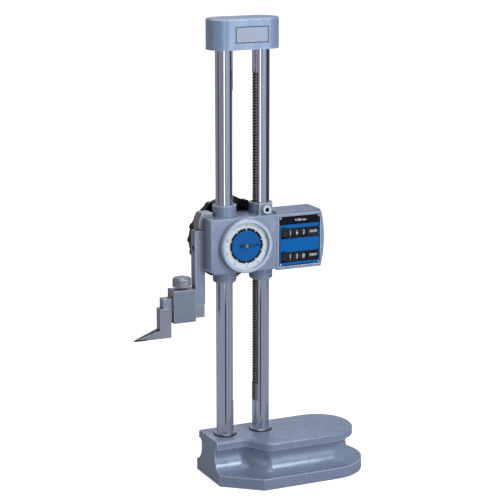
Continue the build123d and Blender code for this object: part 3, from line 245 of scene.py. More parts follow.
world = bpy.data.worlds.new("studio")
bpy.context.scene.world = world
world.use_nodes = True
tree = world.node_tree
soft = tree.nodes["Background"]
soft.inputs["Color"].default_value = (*SKY_TINT, 1)
soft.inputs["Strength"].default_value = SKY_STRENGTH
white = tree.nodes.new("ShaderNodeBackground")
white.inputs["Color"].default_value = (*WHITE, 1)
seen = tree.nodes.new("ShaderNodeLightPath")
straight = value(tree, "MAXIMUM", seen.outputs["Is Camera Ray"], seen.outputs["Is Glossy Ray"])
straight = value(tree, "MAXIMUM", straight, seen.outputs["Is Transmission Ray"])
sky = either_shader(tree, straight, soft.outputs[0], white.outputs[0])
tree.links.new(sky, tree.nodes["World Output"].inputs["Surface"])

for lamp_name, spot, width, height, power, tint in LAMPS:
    lamp = bpy.data.lights.new(lamp_name, "AREA")
    lamp.shape = "RECTANGLE"
    lamp.size = width
    lamp.size_y = height
    lamp.energy = power
    lamp.color = tint
    lamp_object = bpy.data.objects.new(lamp_name, lamp)
    lamp_object.location = spot
    aim = Vector(LAMP_AIM) - Vector(spot)
    lamp_object.rotation_euler = aim.to_track_quat("-Z", "Y").to_euler()
    bpy.context.scene.collection.objects.link(lamp_object)

camera = bpy.data.cameras.new("camera")
camera.sensor_width = SENSOR_WIDTH
camera.lens = CAMERA_LENS
camera_object = bpy.data.objects.new("camera", camera)
camera_object.location = CAMERA_SPOT
aim = Vector(CAMERA_AIM) - camera_object.location
camera_object.rotation_euler = aim.to_track_quat("-Z", "Y").to_euler()
bpy.context.scene.collection.objects.link(camera_object)
bpy.context.scene.camera = camera_object
bpy.context.scene.view_settings.view_transform = "Standard"

# ================================================================ castings
# Base, head, slider body, its cover and the counter box are castings, filled and sprayed with a
# blue-grey satin enamel. It lies like fine orange peel, with a pale painted highlight along its outer
# corners.
ENAMEL = (0.208, 0.262, 0.378)
ENAMEL_THIN = (0.224, 0.281, 0.402)
ENAMEL_DEEP = (0.194, 0.246, 0.357)
HEAD_ENAMEL = (0.228, 0.318, 0.47)
HEAD_SPREAD = (1.07, 0.94)
# painted highlight tone for outer corners
EDGE_HIGHLIGHT = (0.76, 0.82, 0.93)
CASTING_CORNER = 0.0009


def noise(tree, place, scale, detail=3.0, stretch=(1, 1, 1)):
    """Soft noise on the piece's own coordinates, drawn out along an axis by stretch."""
    mapping = tree.nodes.new("ShaderNodeMapping")
    mapping.inputs["Scale"].default_value = stretch
    cloud = tree.nodes.new("ShaderNodeTexNoise")
    cloud.inputs["Scale"].default_value = scale
    cloud.inputs["Detail"].default_value = detail
    tree.links.new(place, mapping.inputs["Vector"])
    tree.links.new(mapping.outputs[0], cloud.inputs["Vector"])
    return cloud.outputs["Fac"]


def relief(tree, shader, height, depth, edge=0.0):
    """Bumps of that depth in metres, on corners that look rounded by edge."""
    bump = tree.nodes.new("ShaderNodeBump")
    bump.inputs["Distance"].default_value = depth
    tree.links.new(height, bump.inputs["Height"])
    if edge:
        corner = tree.nodes.new("ShaderNodeBevel")
        corner.samples = 6
        corner.inputs["Radius"].default_value = edge
        tree.links.new(corner.outputs[0], bump.inputs["Normal"])
    tree.links.new(bump.outputs[0], shader.inputs["Normal"])


def printed(tree, under, mask, colour):
    """Ink of a colour over what lies under it, where mask is 1."""
    ink = tree.nodes.new("ShaderNodeMix")
    ink.data_type = "RGBA"
    tree.links.new(mask, ink.inputs["Factor"])
    if isinstance(under, tuple):
        ink.inputs["A"].default_value = (*under, 1)
    else:
        tree.links.new(under, ink.inputs["A"])
    ink.inputs["B"].default_value = (*colour, 1)
    return ink.outputs["Result"]


def corner_mask(tree, reach):
    """1 on outer corners and 0 on flat ground or in inner corners, from how far the rounded normal
    leans over and how open the place is."""
    corner = tree.nodes.new("ShaderNodeBevel")
    corner.samples = 8
    corner.inputs["Radius"].default_value = reach
    ground = tree.nodes.new("ShaderNodeNewGeometry")
    lean = tree.nodes.new("ShaderNodeVectorMath")
    lean.operation = "DOT_PRODUCT"
    tree.links.new(corner.outputs[0], lean.inputs[0])
    tree.links.new(ground.outputs["Normal"], lean.inputs[1])
    leaning = ranged(tree, lean.outputs["Value"], 0.0, 1.0, 0.99, 0.80)
    open_sky = tree.nodes.new("ShaderNodeAmbientOcclusion")
    open_sky.samples = 4
    open_sky.inputs["Distance"].default_value = 3 * reach
    outer = ranged(tree, open_sky.outputs["AO"], 0.0, 1.0, 0.7, 0.95)
    return value(tree, "MULTIPLY", leaning, outer)


def painted_corner_highlight(tree, under, reach, share, colour):
    """The colour under, with a lighter painted highlight along the outer corners."""
    mask = value(tree, "MULTIPLY", corner_mask(tree, reach), share)
    return printed(tree, under, mask, colour)


def enamel(name, thin, full, deep, edge, roughness=0.25):
    """Sprayed enamel: three tones by thickness, a painted highlight along outer corners, an orange-peel
    relief and a patchy gloss.
    """
    material, tree, shader, place = bare_material(name)
    cloud = noise(tree, place, 28.0, 5.0)
    speckle = noise(tree, place, 620.0, 2.0)
    coat = value(tree, "MULTIPLY_ADD", speckle, 0.6, value(tree, "MULTIPLY", cloud, 0.4))
    colour = between(tree, coat, [(0.32, deep), (0.5, full), (0.68, thin)])
    # painted highlight: a pale tone along the outer corners
    colour = painted_corner_highlight(tree, colour, 1.7 * edge, 0.85, EDGE_HIGHLIGHT)
    tree.links.new(colour, shader.inputs["Base Color"])
    patch = ranged(tree, noise(tree, place, 90.0, 2.0), roughness - 0.05, roughness + 0.07)
    tree.links.new(patch, shader.inputs["Roughness"])
    shader.inputs["Metallic"].default_value = 0.22
    shader.inputs["Specular IOR Level"].default_value = 0.7
    relief(tree, shader, speckle, 0.00006, edge)
    return material


def round_off(node, angle=32):
    """Welds a CAD node's triangles for shading and keeps its real corners sharp."""
    node.data.polygons.foreach_set("use_smooth", [True] * len(node.data.polygons))
    weld = node.modifiers.new("weld", "WELD")
    weld.merge_threshold = 0.000002
    corners = node.modifiers.new("corners", "EDGE_SPLIT")
    corners.split_angle = np.radians(angle)
    corners.use_edge_sharp = False


def dress(material, *names):
    """Gives CAD nodes their material."""
    for node_name in names:
        node = nodes[node_name]
        node.data.materials.clear()
        node.data.materials.append(material)
        round_off(node)


casting_paint = enamel("casting_paint", ENAMEL_THIN, ENAMEL, ENAMEL_DEEP, CASTING_CORNER)
dress(casting_paint, "base", "slider_body", "front_cover", "counter_housing")
head_thin, head_deep = [tuple(share * c for c in HEAD_ENAMEL) for share in HEAD_SPREAD]
dress(enamel("head_paint", head_thin, HEAD_ENAMEL, head_deep, CASTING_CORNER), "head")

# ================================================================ columns
# Two ground bars, hard chromed, with a faint lengthwise grind. The rack cut along each is bare steel,
# its dark tone partly its own and partly painted shade that weakens towards the front. Socket bolts and
# set screws are blackened.
CHROME = (0.76, 0.79, 0.83)
CHROME_DULL = (0.70, 0.73, 0.78)
RACK_STEEL_AND_SHADE = (0.075, 0.082, 0.095)
RACK_REACH = 0.0151
RACK_SPAN = (0.0805, 0.4335)
PAINTED_SHADE_FADE = (-0.0095, 0.0)
PAINTED_SHADE_LEAST = 0.5
BLACKENED = (0.022, 0.022, 0.025)


def blackened(name, colour, roughness=0.42):
    """Oiled black steel, slightly mottled."""
    material, tree, shader, place = bare_material(name)
    shader.inputs["Metallic"].default_value = 0.6
    cloud = noise(tree, place, 160.0, 4.0)
    light = tuple(1.9 * c + 0.01 for c in colour)
    tree.links.new(between(tree, cloud, [(0.35, colour), (0.75, light)]), shader.inputs["Base Color"])
    tree.links.new(ranged(tree, cloud, roughness - 0.08, roughness + 0.1), shader.inputs["Roughness"])
    relief(tree, shader, noise(tree, place, 1400.0, 2.0), 0.00002, 0.0002)
    return material


def inside(tree, given, low, high):
    """1 where given lies from low to high, else 0."""
    return value(
        tree, "MULTIPLY", value(tree, "GREATER_THAN", given, low), value(tree, "LESS_THAN", given, high)
    )


column_plate, tree, shader, place = bare_material("column_plate")
x, y, z = axes(tree, place)
near_middle = inside(tree, value(tree, "ABSOLUTE", x), 0.0, RACK_REACH)
rack_and_shade = value(tree, "MULTIPLY", near_middle, inside(tree, z, *RACK_SPAN))
# painted shade on the rack: full at the middle and back, half at the front
rack_and_shade = value(tree, "MULTIPLY", rack_and_shade, ranged(tree, y, PAINTED_SHADE_LEAST, 1.0, *PAINTED_SHADE_FADE))
scratch = noise(tree, place, 420.0, 4.0, (1, 1, 0.02))
plating = between(tree, scratch, [(0.3, CHROME_DULL), (0.7, CHROME)])
tree.links.new(printed(tree, plating, rack_and_shade, RACK_STEEL_AND_SHADE), shader.inputs["Base Color"])
gloss = ranged(tree, scratch, 0.05, 0.09)
tree.links.new(value(tree, "MULTIPLY_ADD", rack_and_shade, 0.4, gloss), shader.inputs["Roughness"])
tree.links.new(value(tree, "MULTIPLY_ADD", rack_and_shade, -0.7, 1.0), shader.inputs["Metallic"])
relief(tree, shader, scratch, 0.0000018)
dress(column_plate, "column_left", "column_right")
screw_black = blackened("screw_black", BLACKENED)
dress(screw_black, "column_bolts", "head_set_screws", "jaw_screw", "bracket_screws")

# ================================================================ feet of the columns
# A bright turned ring stands round the foot of each column, in a black rubber seal with bevelled
# upper edges. The wipers in the slider's collars are dressed as dense grey felt.
COLUMN_X = 0.0209
SEAL_BOTTOM = 0.0467
SEAL_INNER, SEAL_OUTER = 0.01134, 0.0124
SEAL_PROFILE = np.array(
    [
        (SEAL_INNER, 0.0),
        (SEAL_OUTER, 0.0),
        (SEAL_OUTER, 0.0007),
        (SEAL_OUTER - 0.0003, 0.0010),
        (SEAL_INNER + 0.00021, 0.0010),
        (SEAL_INNER, 0.0008),
    ]
)
RUBBER = (0.012, 0.012, 0.014)
FELT = (0.19, 0.21, 0.26)
RING_STEEL = (0.62, 0.66, 0.72)


def chrome(name, colour, roughness, stretch):
    """Polished plate with a fine grind drawn along one axis."""
    material, tree, shader, place = bare_material(name)
    shader.inputs["Metallic"].default_value = 1.0
    scratch = noise(tree, place, 420.0, 4.0, stretch)
    dull = tuple(0.86 * c for c in colour)
    tree.links.new(between(tree, scratch, [(0.3, dull), (0.7, colour)]), shader.inputs["Base Color"])
    tree.links.new(ranged(tree, scratch, roughness * 0.7, roughness * 1.4), shader.inputs["Roughness"])
    relief(tree, shader, scratch, 0.0000025)
    return material


def finish_mesh(thing, sharp=35):
    """Merges doubled points, turns faces outwards and keeps corners over sharp degrees."""
    limit = float(np.radians(sharp))
    shape = bmesh.new()
    shape.from_mesh(thing.data)
    bmesh.ops.remove_doubles(shape, verts=shape.verts, dist=0.000001)
    bmesh.ops.recalc_face_normals(shape, faces=shape.faces)
    for edge in shape.edges:
        edge.smooth = len(edge.link_faces) == 2 and edge.calc_face_angle() < limit
    shape.to_mesh(thing.data)
    shape.free()


def turned(name, profile, centre, forward=False, steps=72):
    """A turned body from a profile of (radius, height) pairs, carried round Z through centre, or
    round the line to the front when forward: radius times the cosine and sine of the turn, with
    the height along the axis."""
    turn = np.linspace(0, 2 * np.pi, steps, endpoint=False)
    radius = profile[:, 0][:, None]
    height = np.repeat(profile[:, 1][:, None], steps, axis=1)
    across, up = radius * np.cos(turn), radius * np.sin(turn)
    parts = [across, -height, up] if forward else [across, up, height]
    points = np.stack(parts, axis=-1).reshape(-1, 3) + np.array(centre)
    thing = mesh_object(name, points, grid_faces(len(profile), steps, closed=True), smooth=True)
    finish_mesh(thing)
    return thing


def rubber(name, colour):
    """Matt rubber with a fine grain."""
    material, tree, shader, place = bare_material(name)
    cloud = noise(tree, place, 300.0, 3.0)
    light = tuple(1.7 * c for c in colour)
    tree.links.new(between(tree, cloud, [(0.3, colour), (0.7, light)]), shader.inputs["Base Color"])
    shader.inputs["Roughness"].default_value = 0.62
    relief(tree, shader, noise(tree, place, 2200.0, 2.0), 0.00002)
    return material


dress(chrome("ring_metal", RING_STEEL, 0.2, (1, 1, 1)), "foot_rings")
seal_rubber = rubber("seal_rubber", RUBBER)
dress(rubber("wiper_felt", FELT), "column_wipers")
seal_loop = np.vstack([SEAL_PROFILE, SEAL_PROFILE[:1]])
for place_name, seal_x in (("left", -COLUMN_X), ("right", COLUMN_X)):
    seal = turned("foot_seal_" + place_name, seal_loop, (seal_x, 0, SEAL_BOTTOM))
    seal.data.materials.append(seal_rubber)
    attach(seal, "stand")

# ================================================================ plate on the head
# A thin plate is stuck to the front of the head. It is left plain, in a tone close to the enamel,
# with a dark line printed round its edge.
PLATE_LEFT, PLATE_RIGHT = -0.0162, 0.0212
PLATE_BOTTOM, PLATE_TOP = 0.4648, 0.4825
PLATE_FRONT = -0.01885
HEAD_FRONT = -0.0186
PLATE_CORNER = 0.0012
LINE_START, LINE_END = 0.0004, 0.0014
PLATE_PALE = (0.27, 0.33, 0.45)
PLATE_BLACK = (0.03, 0.03, 0.035)


def rounded_outline(left, right, bottom, top, corner, steps=6):
    """Outline of a rectangle with round corners: each corner is a quarter circle about a point
    set in by the corner's radius."""
    quarter = np.linspace(0, np.pi / 2, steps)
    centres = [(right - corner, top - corner), (left + corner, top - corner)]
    centres += [(left + corner, bottom + corner), (right - corner, bottom + corner)]
    arcs = []
    for number, (x, z) in enumerate(centres):
        turn = quarter + number * np.pi / 2
        arcs.append(np.c_[x + corner * np.cos(turn), z + corner * np.sin(turn)])
    return np.vstack(arcs)


def front_sheet(name, outline, back, front):
    """A flat sheet from its outline in X and Z: the outline at depth back and again at front."""
    count = len(outline)
    points = np.vstack(
        [np.c_[outline[:, 0], np.full(count, y), outline[:, 1]] for y in (back, front)]
    )
    ring = np.arange(count)
    sides = np.c_[ring, (ring + 1) % count, (ring + 1) % count + count, ring + count]
    faces = [*sides.tolist(), ring[::-1].tolist(), (ring + count).tolist()]
    thing = mesh_object(name, points, faces)
    finish_mesh(thing)
    return thing


plate_outline = rounded_outline(PLATE_LEFT, PLATE_RIGHT, PLATE_BOTTOM, PLATE_TOP, PLATE_CORNER)
plate = front_sheet("head_plate", plate_outline, HEAD_FRONT, PLATE_FRONT)
plate_print, tree, shader, place = bare_material("head_plate_print")
x, y, z = axes(tree, place)
outer, inner = [
    value(
        tree,
        "MULTIPLY",
        inside(tree, x, PLATE_LEFT + margin, PLATE_RIGHT - margin),
        inside(tree, z, PLATE_BOTTOM + margin, PLATE_TOP - margin),
    )
    for margin in (LINE_START, LINE_END)
]
frame_line = value(tree, "SUBTRACT", outer, inner)
grain = noise(tree, place, 300.0, 2.0)
ink = between(tree, grain, [(0.3, tuple(0.92 * c for c in PLATE_PALE)), (0.7, PLATE_PALE)])
ink = printed(tree, ink, frame_line, PLATE_BLACK)
tree.links.new(ink, shader.inputs["Base Color"])
shader.inputs["Roughness"].default_value = 0.35
relief(tree, shader, noise(tree, place, 1200.0, 2.0), 0.00001)
plate.data.materials.append(plate_print)
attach(plate, "stand")

# ================================================================ bushes and hidden works
# Bronze bushes, the brass pinions and wheels of the step-up train, and bright steel arbors.
BRONZE = (0.48, 0.26, 0.13)
BRASS = (0.62, 0.45, 0.20)
BRIGHT_STEEL = (0.46, 0.48, 0.50)
COPPER = (0.80, 0.36, 0.17)


def turned_metal(name, colour, roughness=0.3):
    """Machined metal with fine tool marks."""
    material, tree, shader, place = bare_material(name)
    shader.inputs["Metallic"].default_value = 1.0
    lines = noise(tree, place, 700.0, 3.0)
    dull = tuple(0.75 * c for c in colour)
    tree.links.new(between(tree, lines, [(0.3, dull), (0.7, colour)]), shader.inputs["Base Color"])
    tree.links.new(ranged(tree, lines, roughness - 0.06, roughness + 0.1), shader.inputs["Roughness"])
    relief(tree, shader, lines, 0.00001, 0.00015)
    return material


bronze = turned_metal("bronze", BRONZE, 0.34)
brass = turned_metal("brass", BRASS, 0.3)
bright_steel = turned_metal("bright_steel", BRIGHT_STEEL, 0.26)
copper = turned_metal("copper", COPPER, 0.4)
dress(bronze, "slide_bushes", "lock_shoe", "feed_bearing")
dress(copper, "pressure_pad")
dress(brass, "measuring_pinion", "train_idler", "pointer_arbor")
dress(bright_steel, "feed_shaft", "counter_axles", "counter_frame", "housing_screws")

# ================================================================ screws of the fascia
# Four small bright domed screws hold the fascia at its corners.
FASCIA_FRONT = -0.020
SCREW_RADIUS, SCREW_HEIGHT = 0.00125, 0.0006
RIM_SHARE = 0.45
POLE_RADIUS = 0.00002
SCREW_STEEL = (0.70, 0.72, 0.75)
FASCIA_SCREWS = [(0.03475, 0.28055), (0.07925, 0.28055), (0.03475, 0.23065), (0.07925, 0.23065)]

# The profile runs out along the seat, up the rim and over a quarter ellipse to the middle.
bend = np.linspace(0, np.pi / 2, 6)
dome_height = SCREW_HEIGHT * (RIM_SHARE + (1 - RIM_SHARE) * np.sin(bend))
dome = np.c_[SCREW_RADIUS * np.cos(bend), dome_height]
dome[-1, 0] = POLE_RADIUS
screw_profile = np.vstack([[(POLE_RADIUS, 0.0), (SCREW_RADIUS, 0.0)], dome])
screw_bright = turned_metal("screw_bright", SCREW_STEEL, 0.22)
for number, (screw_x, screw_z) in enumerate(FASCIA_SCREWS, 1):
    centre = (screw_x, FASCIA_FRONT, screw_z)
    head = turned(f"fascia_screw_{number}", screw_profile, centre, forward=True, steps=28)
    head.data.materials.append(screw_bright)
    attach(head, "slider")

# ================================================================ dial
# A satin silver bezel turns on the cover and holds the printed face and its crystal. The face is a
# blue disc in a black ring with ten white marks, in a silver scale of a hundred divisions.
DIAL_X, DIAL_Z = -0.00612, 0.256
FACE_FRONT = -0.0229
BLUE_EDGE = 0.0162
RING_EDGE = 0.0187
TICK_START = 0.0191
TICKS = [(100, 0.00013, 0.0202), (20, 0.00018, 0.0208), (10, 0.00024, 0.0212)]
RING_MARKS = (10, 0.0011, 0.0173, 0.0187)
TOP_MARK = (1, 0.0008, 0.0152, 0.0186)
MARK_WHITE = (0.85, 0.87, 0.88)
TOP_WHITE = (0.9, 0.92, 0.93)
BEZEL_DULL, BEZEL_SILVER = (0.36, 0.42, 0.55), (0.47, 0.54, 0.66)
SCALE_BLUE = (0.001, 0.118, 0.43)
SCALE_SILVER = (0.78, 0.87, 0.95)
INK = (0.008, 0.009, 0.012)
FIGURE_RADIUS = 0.0226
FIGURE_HEIGHT = 0.0018
INK_LIFT = 0.00001
INK_THICKNESS = 0.000015
HAND_BLACK = (0.012, 0.012, 0.014)
HUB_BACK = -0.0241
HUB_RADIUS, HUB_HEIGHT = 0.0021, 0.00062
HUB_TONE = (0.30, 0.27, 0.27)
TO_FRONT = np.array([0, -1.0, 0])
CRYSTAL_DEEP, CRYSTAL_PALE = (0.010, 0.012, 0.016), (0.016, 0.018, 0.022)

bezel_metal, tree, shader, place = bare_material("bezel_metal")
shader.inputs["Metallic"].default_value = 0.35
cloud = noise(tree, place, 500.0, 3.0)
silver = between(tree, cloud, [(0.3, BEZEL_DULL), (0.7, BEZEL_SILVER)])
tree.links.new(silver, shader.inputs["Base Color"])
tree.links.new(ranged(tree, cloud, 0.26, 0.38), shader.inputs["Roughness"])
relief(tree, shader, cloud, 0.000008, 0.0004)
dress(bezel_metal, "bezel")

face_print, tree, shader, place = bare_material("face_print")
x, y, z = axes(tree, place)
across = value(tree, "SUBTRACT", x, DIAL_X)
up = value(tree, "SUBTRACT", z, DIAL_Z)
radius = value(tree, "SQRT", value(tree, "MULTIPLY_ADD", across, across, value(tree, "MULTIPLY", up, up)))
turn = value(tree, "DIVIDE", value(tree, "ARCTAN2", across, up), 2 * np.pi)


def marks(count, width, start, end):
    """count even marks of a width in metres, from radius start to end: the turn times count, its
    distance to the nearest whole number, held against the width as a share of one division."""
    step = value(tree, "MULTIPLY", turn, float(count))
    off = value(tree, "ABSOLUTE", value(tree, "SUBTRACT", step, value(tree, "ROUND", step)))
    reach = value(tree, "DIVIDE", width * count / (4 * np.pi), radius)
    hit = value(tree, "LESS_THAN", off, reach)
    return value(tree, "MULTIPLY", hit, inside(tree, radius, start, end))


grain = noise(tree, place, 260.0, 3.0)
ink = between(tree, grain, [(0.3, tuple(0.93 * c for c in SCALE_SILVER)), (0.7, SCALE_SILVER)])
for count, width, end in TICKS:
    ink = printed(tree, ink, marks(count, width, TICK_START, end), INK)
ink = printed(tree, ink, value(tree, "LESS_THAN", radius, RING_EDGE), INK)
ink = printed(tree, ink, marks(*RING_MARKS), MARK_WHITE)
top = value(tree, "MULTIPLY", marks(*TOP_MARK), value(tree, "GREATER_THAN", up, 0))
ink = printed(tree, ink, top, TOP_WHITE)
ink = printed(tree, ink, value(tree, "LESS_THAN", radius, BLUE_EDGE), SCALE_BLUE)
tree.links.new(ink, shader.inputs["Base Color"])
shader.inputs["Roughness"].default_value = 0.38
shader.inputs["Specular IOR Level"].default_value = 0.08
relief(tree, shader, grain, 0.000004)
dress(face_print, "dial_face")


def lettering(text, height):
    """Outline of a text as flat points and faces, centred, with that height in metres."""
    curve = bpy.data.curves.new("lettering", "FONT")
    curve.body = text
    curve.resolution_u = 3
    source = bpy.data.objects.new("lettering", curve)
    bpy.context.scene.collection.objects.link(source)
    bpy.context.view_layer.update()
    mesh = bpy.data.meshes.new_from_object(source)
    flat = np.zeros(len(mesh.vertices) * 3)
    mesh.vertices.foreach_get("co", flat)
    flat = flat.reshape(-1, 3)[:, :2]
    faces = [list(p.vertices) for p in mesh.polygons]
    bpy.data.objects.remove(source)
    bpy.data.curves.remove(curve)
    middle = (flat.min(0) + flat.max(0)) / 2
    return (flat - middle) * height / np.ptp(flat[:, 1]), faces


def set_in_rows(name, rows, thickness):
    """One object of printed figures: each row is (points in 3-D, faces, normal), lifted by
    thickness along its normal and given a back."""
    points, faces, count = [], [], 0
    for spots, row_faces, normal in rows:
        size = len(spots)
        points += [spots + normal * thickness, spots - normal * thickness]
        faces += [[count + i for i in f] for f in row_faces]
        faces += [[count + size + i for i in reversed(f)] for f in row_faces]
        count += 2 * size
    return mesh_object(name, np.vstack(points), faces)


def print_ink(name, dull, full, roughness):
    """Printing ink, between two tones by a fine noise."""
    material, tree, shader, place = bare_material(name)
    soot = noise(tree, place, 500.0, 2.0)
    tree.links.new(between(tree, soot, [(0.3, dull), (0.7, full)]), shader.inputs["Base Color"])
    shader.inputs["Roughness"].default_value = roughness
    return material


print_black = print_ink("print_black", INK, (0.03, 0.032, 0.036), 0.45)
rows = []
for number in range(10):
    flat, faces = lettering(str(number * 10), FIGURE_HEIGHT)
    angle = 2 * np.pi * number / 10
    turn_x = flat[:, 0] * np.cos(angle) + flat[:, 1] * np.sin(angle)
    turn_z = -flat[:, 0] * np.sin(angle) + flat[:, 1] * np.cos(angle)
    spots = np.c_[
        DIAL_X + FIGURE_RADIUS * np.sin(angle) + turn_x,
        np.full(len(flat), FACE_FRONT - INK_LIFT),
        DIAL_Z + FIGURE_RADIUS * np.cos(angle) + turn_z,
    ]
    rows.append((spots, faces, TO_FRONT))
figures = set_in_rows("dial_figures", rows, INK_THICKNESS)
figures.data.materials.append(print_black)
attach(figures, "bezel")

dress(blackened("hand_black", HAND_BLACK, 0.36), "pointer")
hub_profile = np.array(
    [
        (POLE_RADIUS, 0.0),
        (HUB_RADIUS, 0.0),
        (HUB_RADIUS, HUB_HEIGHT - 0.00027),
        (HUB_RADIUS - 0.0003, HUB_HEIGHT - 0.00002),
        (POLE_RADIUS, HUB_HEIGHT),
    ]
)
hub = turned("pointer_hub", hub_profile, (DIAL_X, HUB_BACK, DIAL_Z), forward=True, steps=40)
hub.data.materials.append(turned_metal("hub_metal", HUB_TONE, 0.4))
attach(hub, "pointer")

crystal, tree, shader, place = bare_material("crystal")
wipe = noise(tree, place, 60.0, 2.0)
smoke = between(tree, wipe, [(0.3, CRYSTAL_DEEP), (0.7, CRYSTAL_PALE)])
tree.links.new(smoke, shader.inputs["Base Color"])
tree.links.new(ranged(tree, wipe, 0.03, 0.07), shader.inputs["Roughness"])
shader.inputs["Alpha"].default_value = 0.06
shader.inputs["Specular IOR Level"].default_value = 0.9
dress(crystal, "dial_crystal", "window_lenses")

# ================================================================ counters
# The fascia is printed blue with a black band above and a black line round it. Behind its windows
# lie black masks, and black wheels with ten white figures show through their openings.
FASCIA_LEFT, FASCIA_RIGHT = 0.033, 0.081
FASCIA_BOTTOM = 0.229
BAND_BOTTOM = 0.2732
FRAME_LINE = 0.0011
PANEL_BLUE = (0.001, 0.115, 0.405)
BAND_BLACK = (0.004, 0.006, 0.012)
WINDOWS = {"upper": 0.2638, "lower": 0.2383}
DIGIT_PLACES = ("hundreds", "tens", "units")
DIGIT_AXIS_Y = -0.0105
DIGIT_CENTRES = (0.04735, 0.05515, 0.06295)
FLAT_DISTANCE = 0.0074 * np.cos(np.pi / 10)
DIGIT_HEIGHT = 0.0040
DIGIT_LIFT = 0.00002
READINGS = {"upper": (1, 6, 2), "lower": (1, 3, 8)}
UNIT_X, UNIT_HEIGHT, UNIT_THICKNESS = 0.0735, 0.0026, 0.00002
MASK_FRONT = -0.0188
RANGE_X, RANGE_Z, RANGE_HEIGHT = 0.0580, 0.2778, 0.0022
MASK_BLACK = (0.006, 0.007, 0.010)
WHEEL_BLACK = (0.010, 0.010, 0.012)
CHALK_DULL, CHALK = (0.86, 0.88, 0.90), (0.94, 0.95, 0.96)

fascia_print, tree, shader, place = bare_material("fascia_print")
x, y, z = axes(tree, place)
grain = noise(tree, place, 200.0, 3.0)
ink = between(tree, grain, [(0.3, tuple(0.9 * c for c in PANEL_BLUE)), (0.7, PANEL_BLUE)])
field = value(
    tree,
    "MULTIPLY",
    inside(tree, x, FASCIA_LEFT + FRAME_LINE, FASCIA_RIGHT - FRAME_LINE),
    inside(tree, z, FASCIA_BOTTOM + FRAME_LINE, BAND_BOTTOM),
)
ink = printed(tree, ink, value(tree, "SUBTRACT", 1.0, field), BAND_BLACK)
tree.links.new(ink, shader.inputs["Base Color"])
shader.inputs["Roughness"].default_value = 0.32
shader.inputs["Specular IOR Level"].default_value = 0.06
relief(tree, shader, noise(tree, place, 1500.0, 2.0), 0.000005, 0.0002)
dress(fascia_print, "counter_fascia")


def moulded(name, colour, roughness=0.4, edge=0.0003):
    """Moulded plastic with a fine grain."""
    material, tree, shader, place = bare_material(name)
    cloud = noise(tree, place, 240.0, 3.0)
    light = tuple(1.5 * c + 0.002 for c in colour)
    tree.links.new(between(tree, cloud, [(0.3, colour), (0.7, light)]), shader.inputs["Base Color"])
    tree.links.new(ranged(tree, cloud, roughness - 0.06, roughness + 0.08), shader.inputs["Roughness"])
    shader.inputs["Specular IOR Level"].default_value = 0.25
    relief(tree, shader, noise(tree, place, 1600.0, 3.0), 0.00002, edge)
    return material


mask_black = moulded("mask_black", MASK_BLACK, 0.5)
wheel_black = moulded("wheel_black", WHEEL_BLACK, 0.5, 0.0001)
dress(mask_black, "window_masks", "upper_reset_button", "lower_reset_button")


def flat_print(name, text, height, middle, thickness):
    """A line of print that faces the front, with its middle at that point, on the slider."""
    flat, faces = lettering(text, height)
    spots = np.c_[middle[0] + flat[:, 0], np.full(len(flat), middle[1]), middle[2] + flat[:, 1]]
    line = set_in_rows(name, [(spots, faces, TO_FRONT)], thickness)
    line.data.materials.append(print_white)
    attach(line, "slider")


print_white = print_ink("print_white", CHALK_DULL, CHALK, 0.5)
for row_name, window_z in WINDOWS.items():
    for place_name, centre_x, shown in zip(DIGIT_PLACES, DIGIT_CENTRES, READINGS[row_name]):
        body_name = f"{row_name}_{place_name}"
        dress(wheel_black, body_name + "_wheel")
        rows = []
        for step in range(10):
            flat, faces = lettering(str((shown + step) % 10), DIGIT_HEIGHT)
            angle = 2 * np.pi * step / 10
            outward = np.array([0, -np.cos(angle), np.sin(angle)])
            upward = np.array([0, np.sin(angle), np.cos(angle)])
            middle = np.array([centre_x, DIGIT_AXIS_Y, window_z])
            middle = middle + outward * (FLAT_DISTANCE + DIGIT_LIFT)
            spots = middle + flat[:, :1] * np.array([1.0, 0, 0]) + flat[:, 1:] * upward
            rows.append((spots, faces, outward))
        digits = set_in_rows(body_name + "_figures", rows, INK_THICKNESS)
        digits.data.materials.append(print_white)
        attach(digits, body_name)
    middle = (UNIT_X, MASK_FRONT, window_z)
    flat_print(f"{row_name}_unit", "mm", UNIT_HEIGHT, middle, UNIT_THICKNESS)
middle = (RANGE_X, FASCIA_FRONT - INK_LIFT, RANGE_Z)
flat_print("range_figures", "0-300 mm", RANGE_HEIGHT, middle, INK_THICKNESS)

# ================================================================ jaw, clamp and scriber
# Jaw, clamp and scriber are ground tool steel, bluish where they are not polished. The bracket
# behind the jaw is a casting under a greenish grey paint, and the tip is dark carbide.
JAW_STEEL = (0.238, 0.286, 0.385)
CLAMP_STEEL = (0.20, 0.238, 0.308)
SCRIBER_STEEL = (0.27, 0.286, 0.35)
KNOB_STEEL = (0.29, 0.315, 0.375)
CARBIDE = (0.040, 0.043, 0.050)
# painted shade for the scriber's slope that faces up and to the left
SLOPE_SHADE = (0.035, 0.037, 0.045)
BRACKET_PAINTS = ((0.222, 0.252, 0.279), (0.183, 0.209, 0.235), (0.148, 0.17, 0.192))
STEEL_CORNER = 0.0010
SLOPE_LEAN = 0.2



def ground_steel(name, colour, stretch, roughness=0.34, edge=0.0004, highlight_share=0.7):
    """Ground steel: grinding lines along one axis, over a slow change of tone, and a painted highlight on
    the corners.
    """
    material, tree, shader, place = bare_material(name)
    shader.inputs["Metallic"].default_value = 0.55
    lines = noise(tree, place, 900.0, 3.0, stretch)
    slow = noise(tree, place, 35.0, 3.0)
    dull = tuple(0.86 * c for c in colour)
    both = value(tree, "MULTIPLY_ADD", lines, 0.5, value(tree, "MULTIPLY", slow, 0.5))
    tone = between(tree, both, [(0.35, dull), (0.65, colour)])
    # painted highlight along the outer corners
    tone = painted_corner_highlight(tree, tone, STEEL_CORNER, highlight_share, EDGE_HIGHLIGHT)
    tree.links.new(tone, shader.inputs["Base Color"])
    tree.links.new(ranged(tree, lines, roughness - 0.06, roughness + 0.08), shader.inputs["Roughness"])
    relief(tree, shader, lines, 0.000006, edge)
    return material


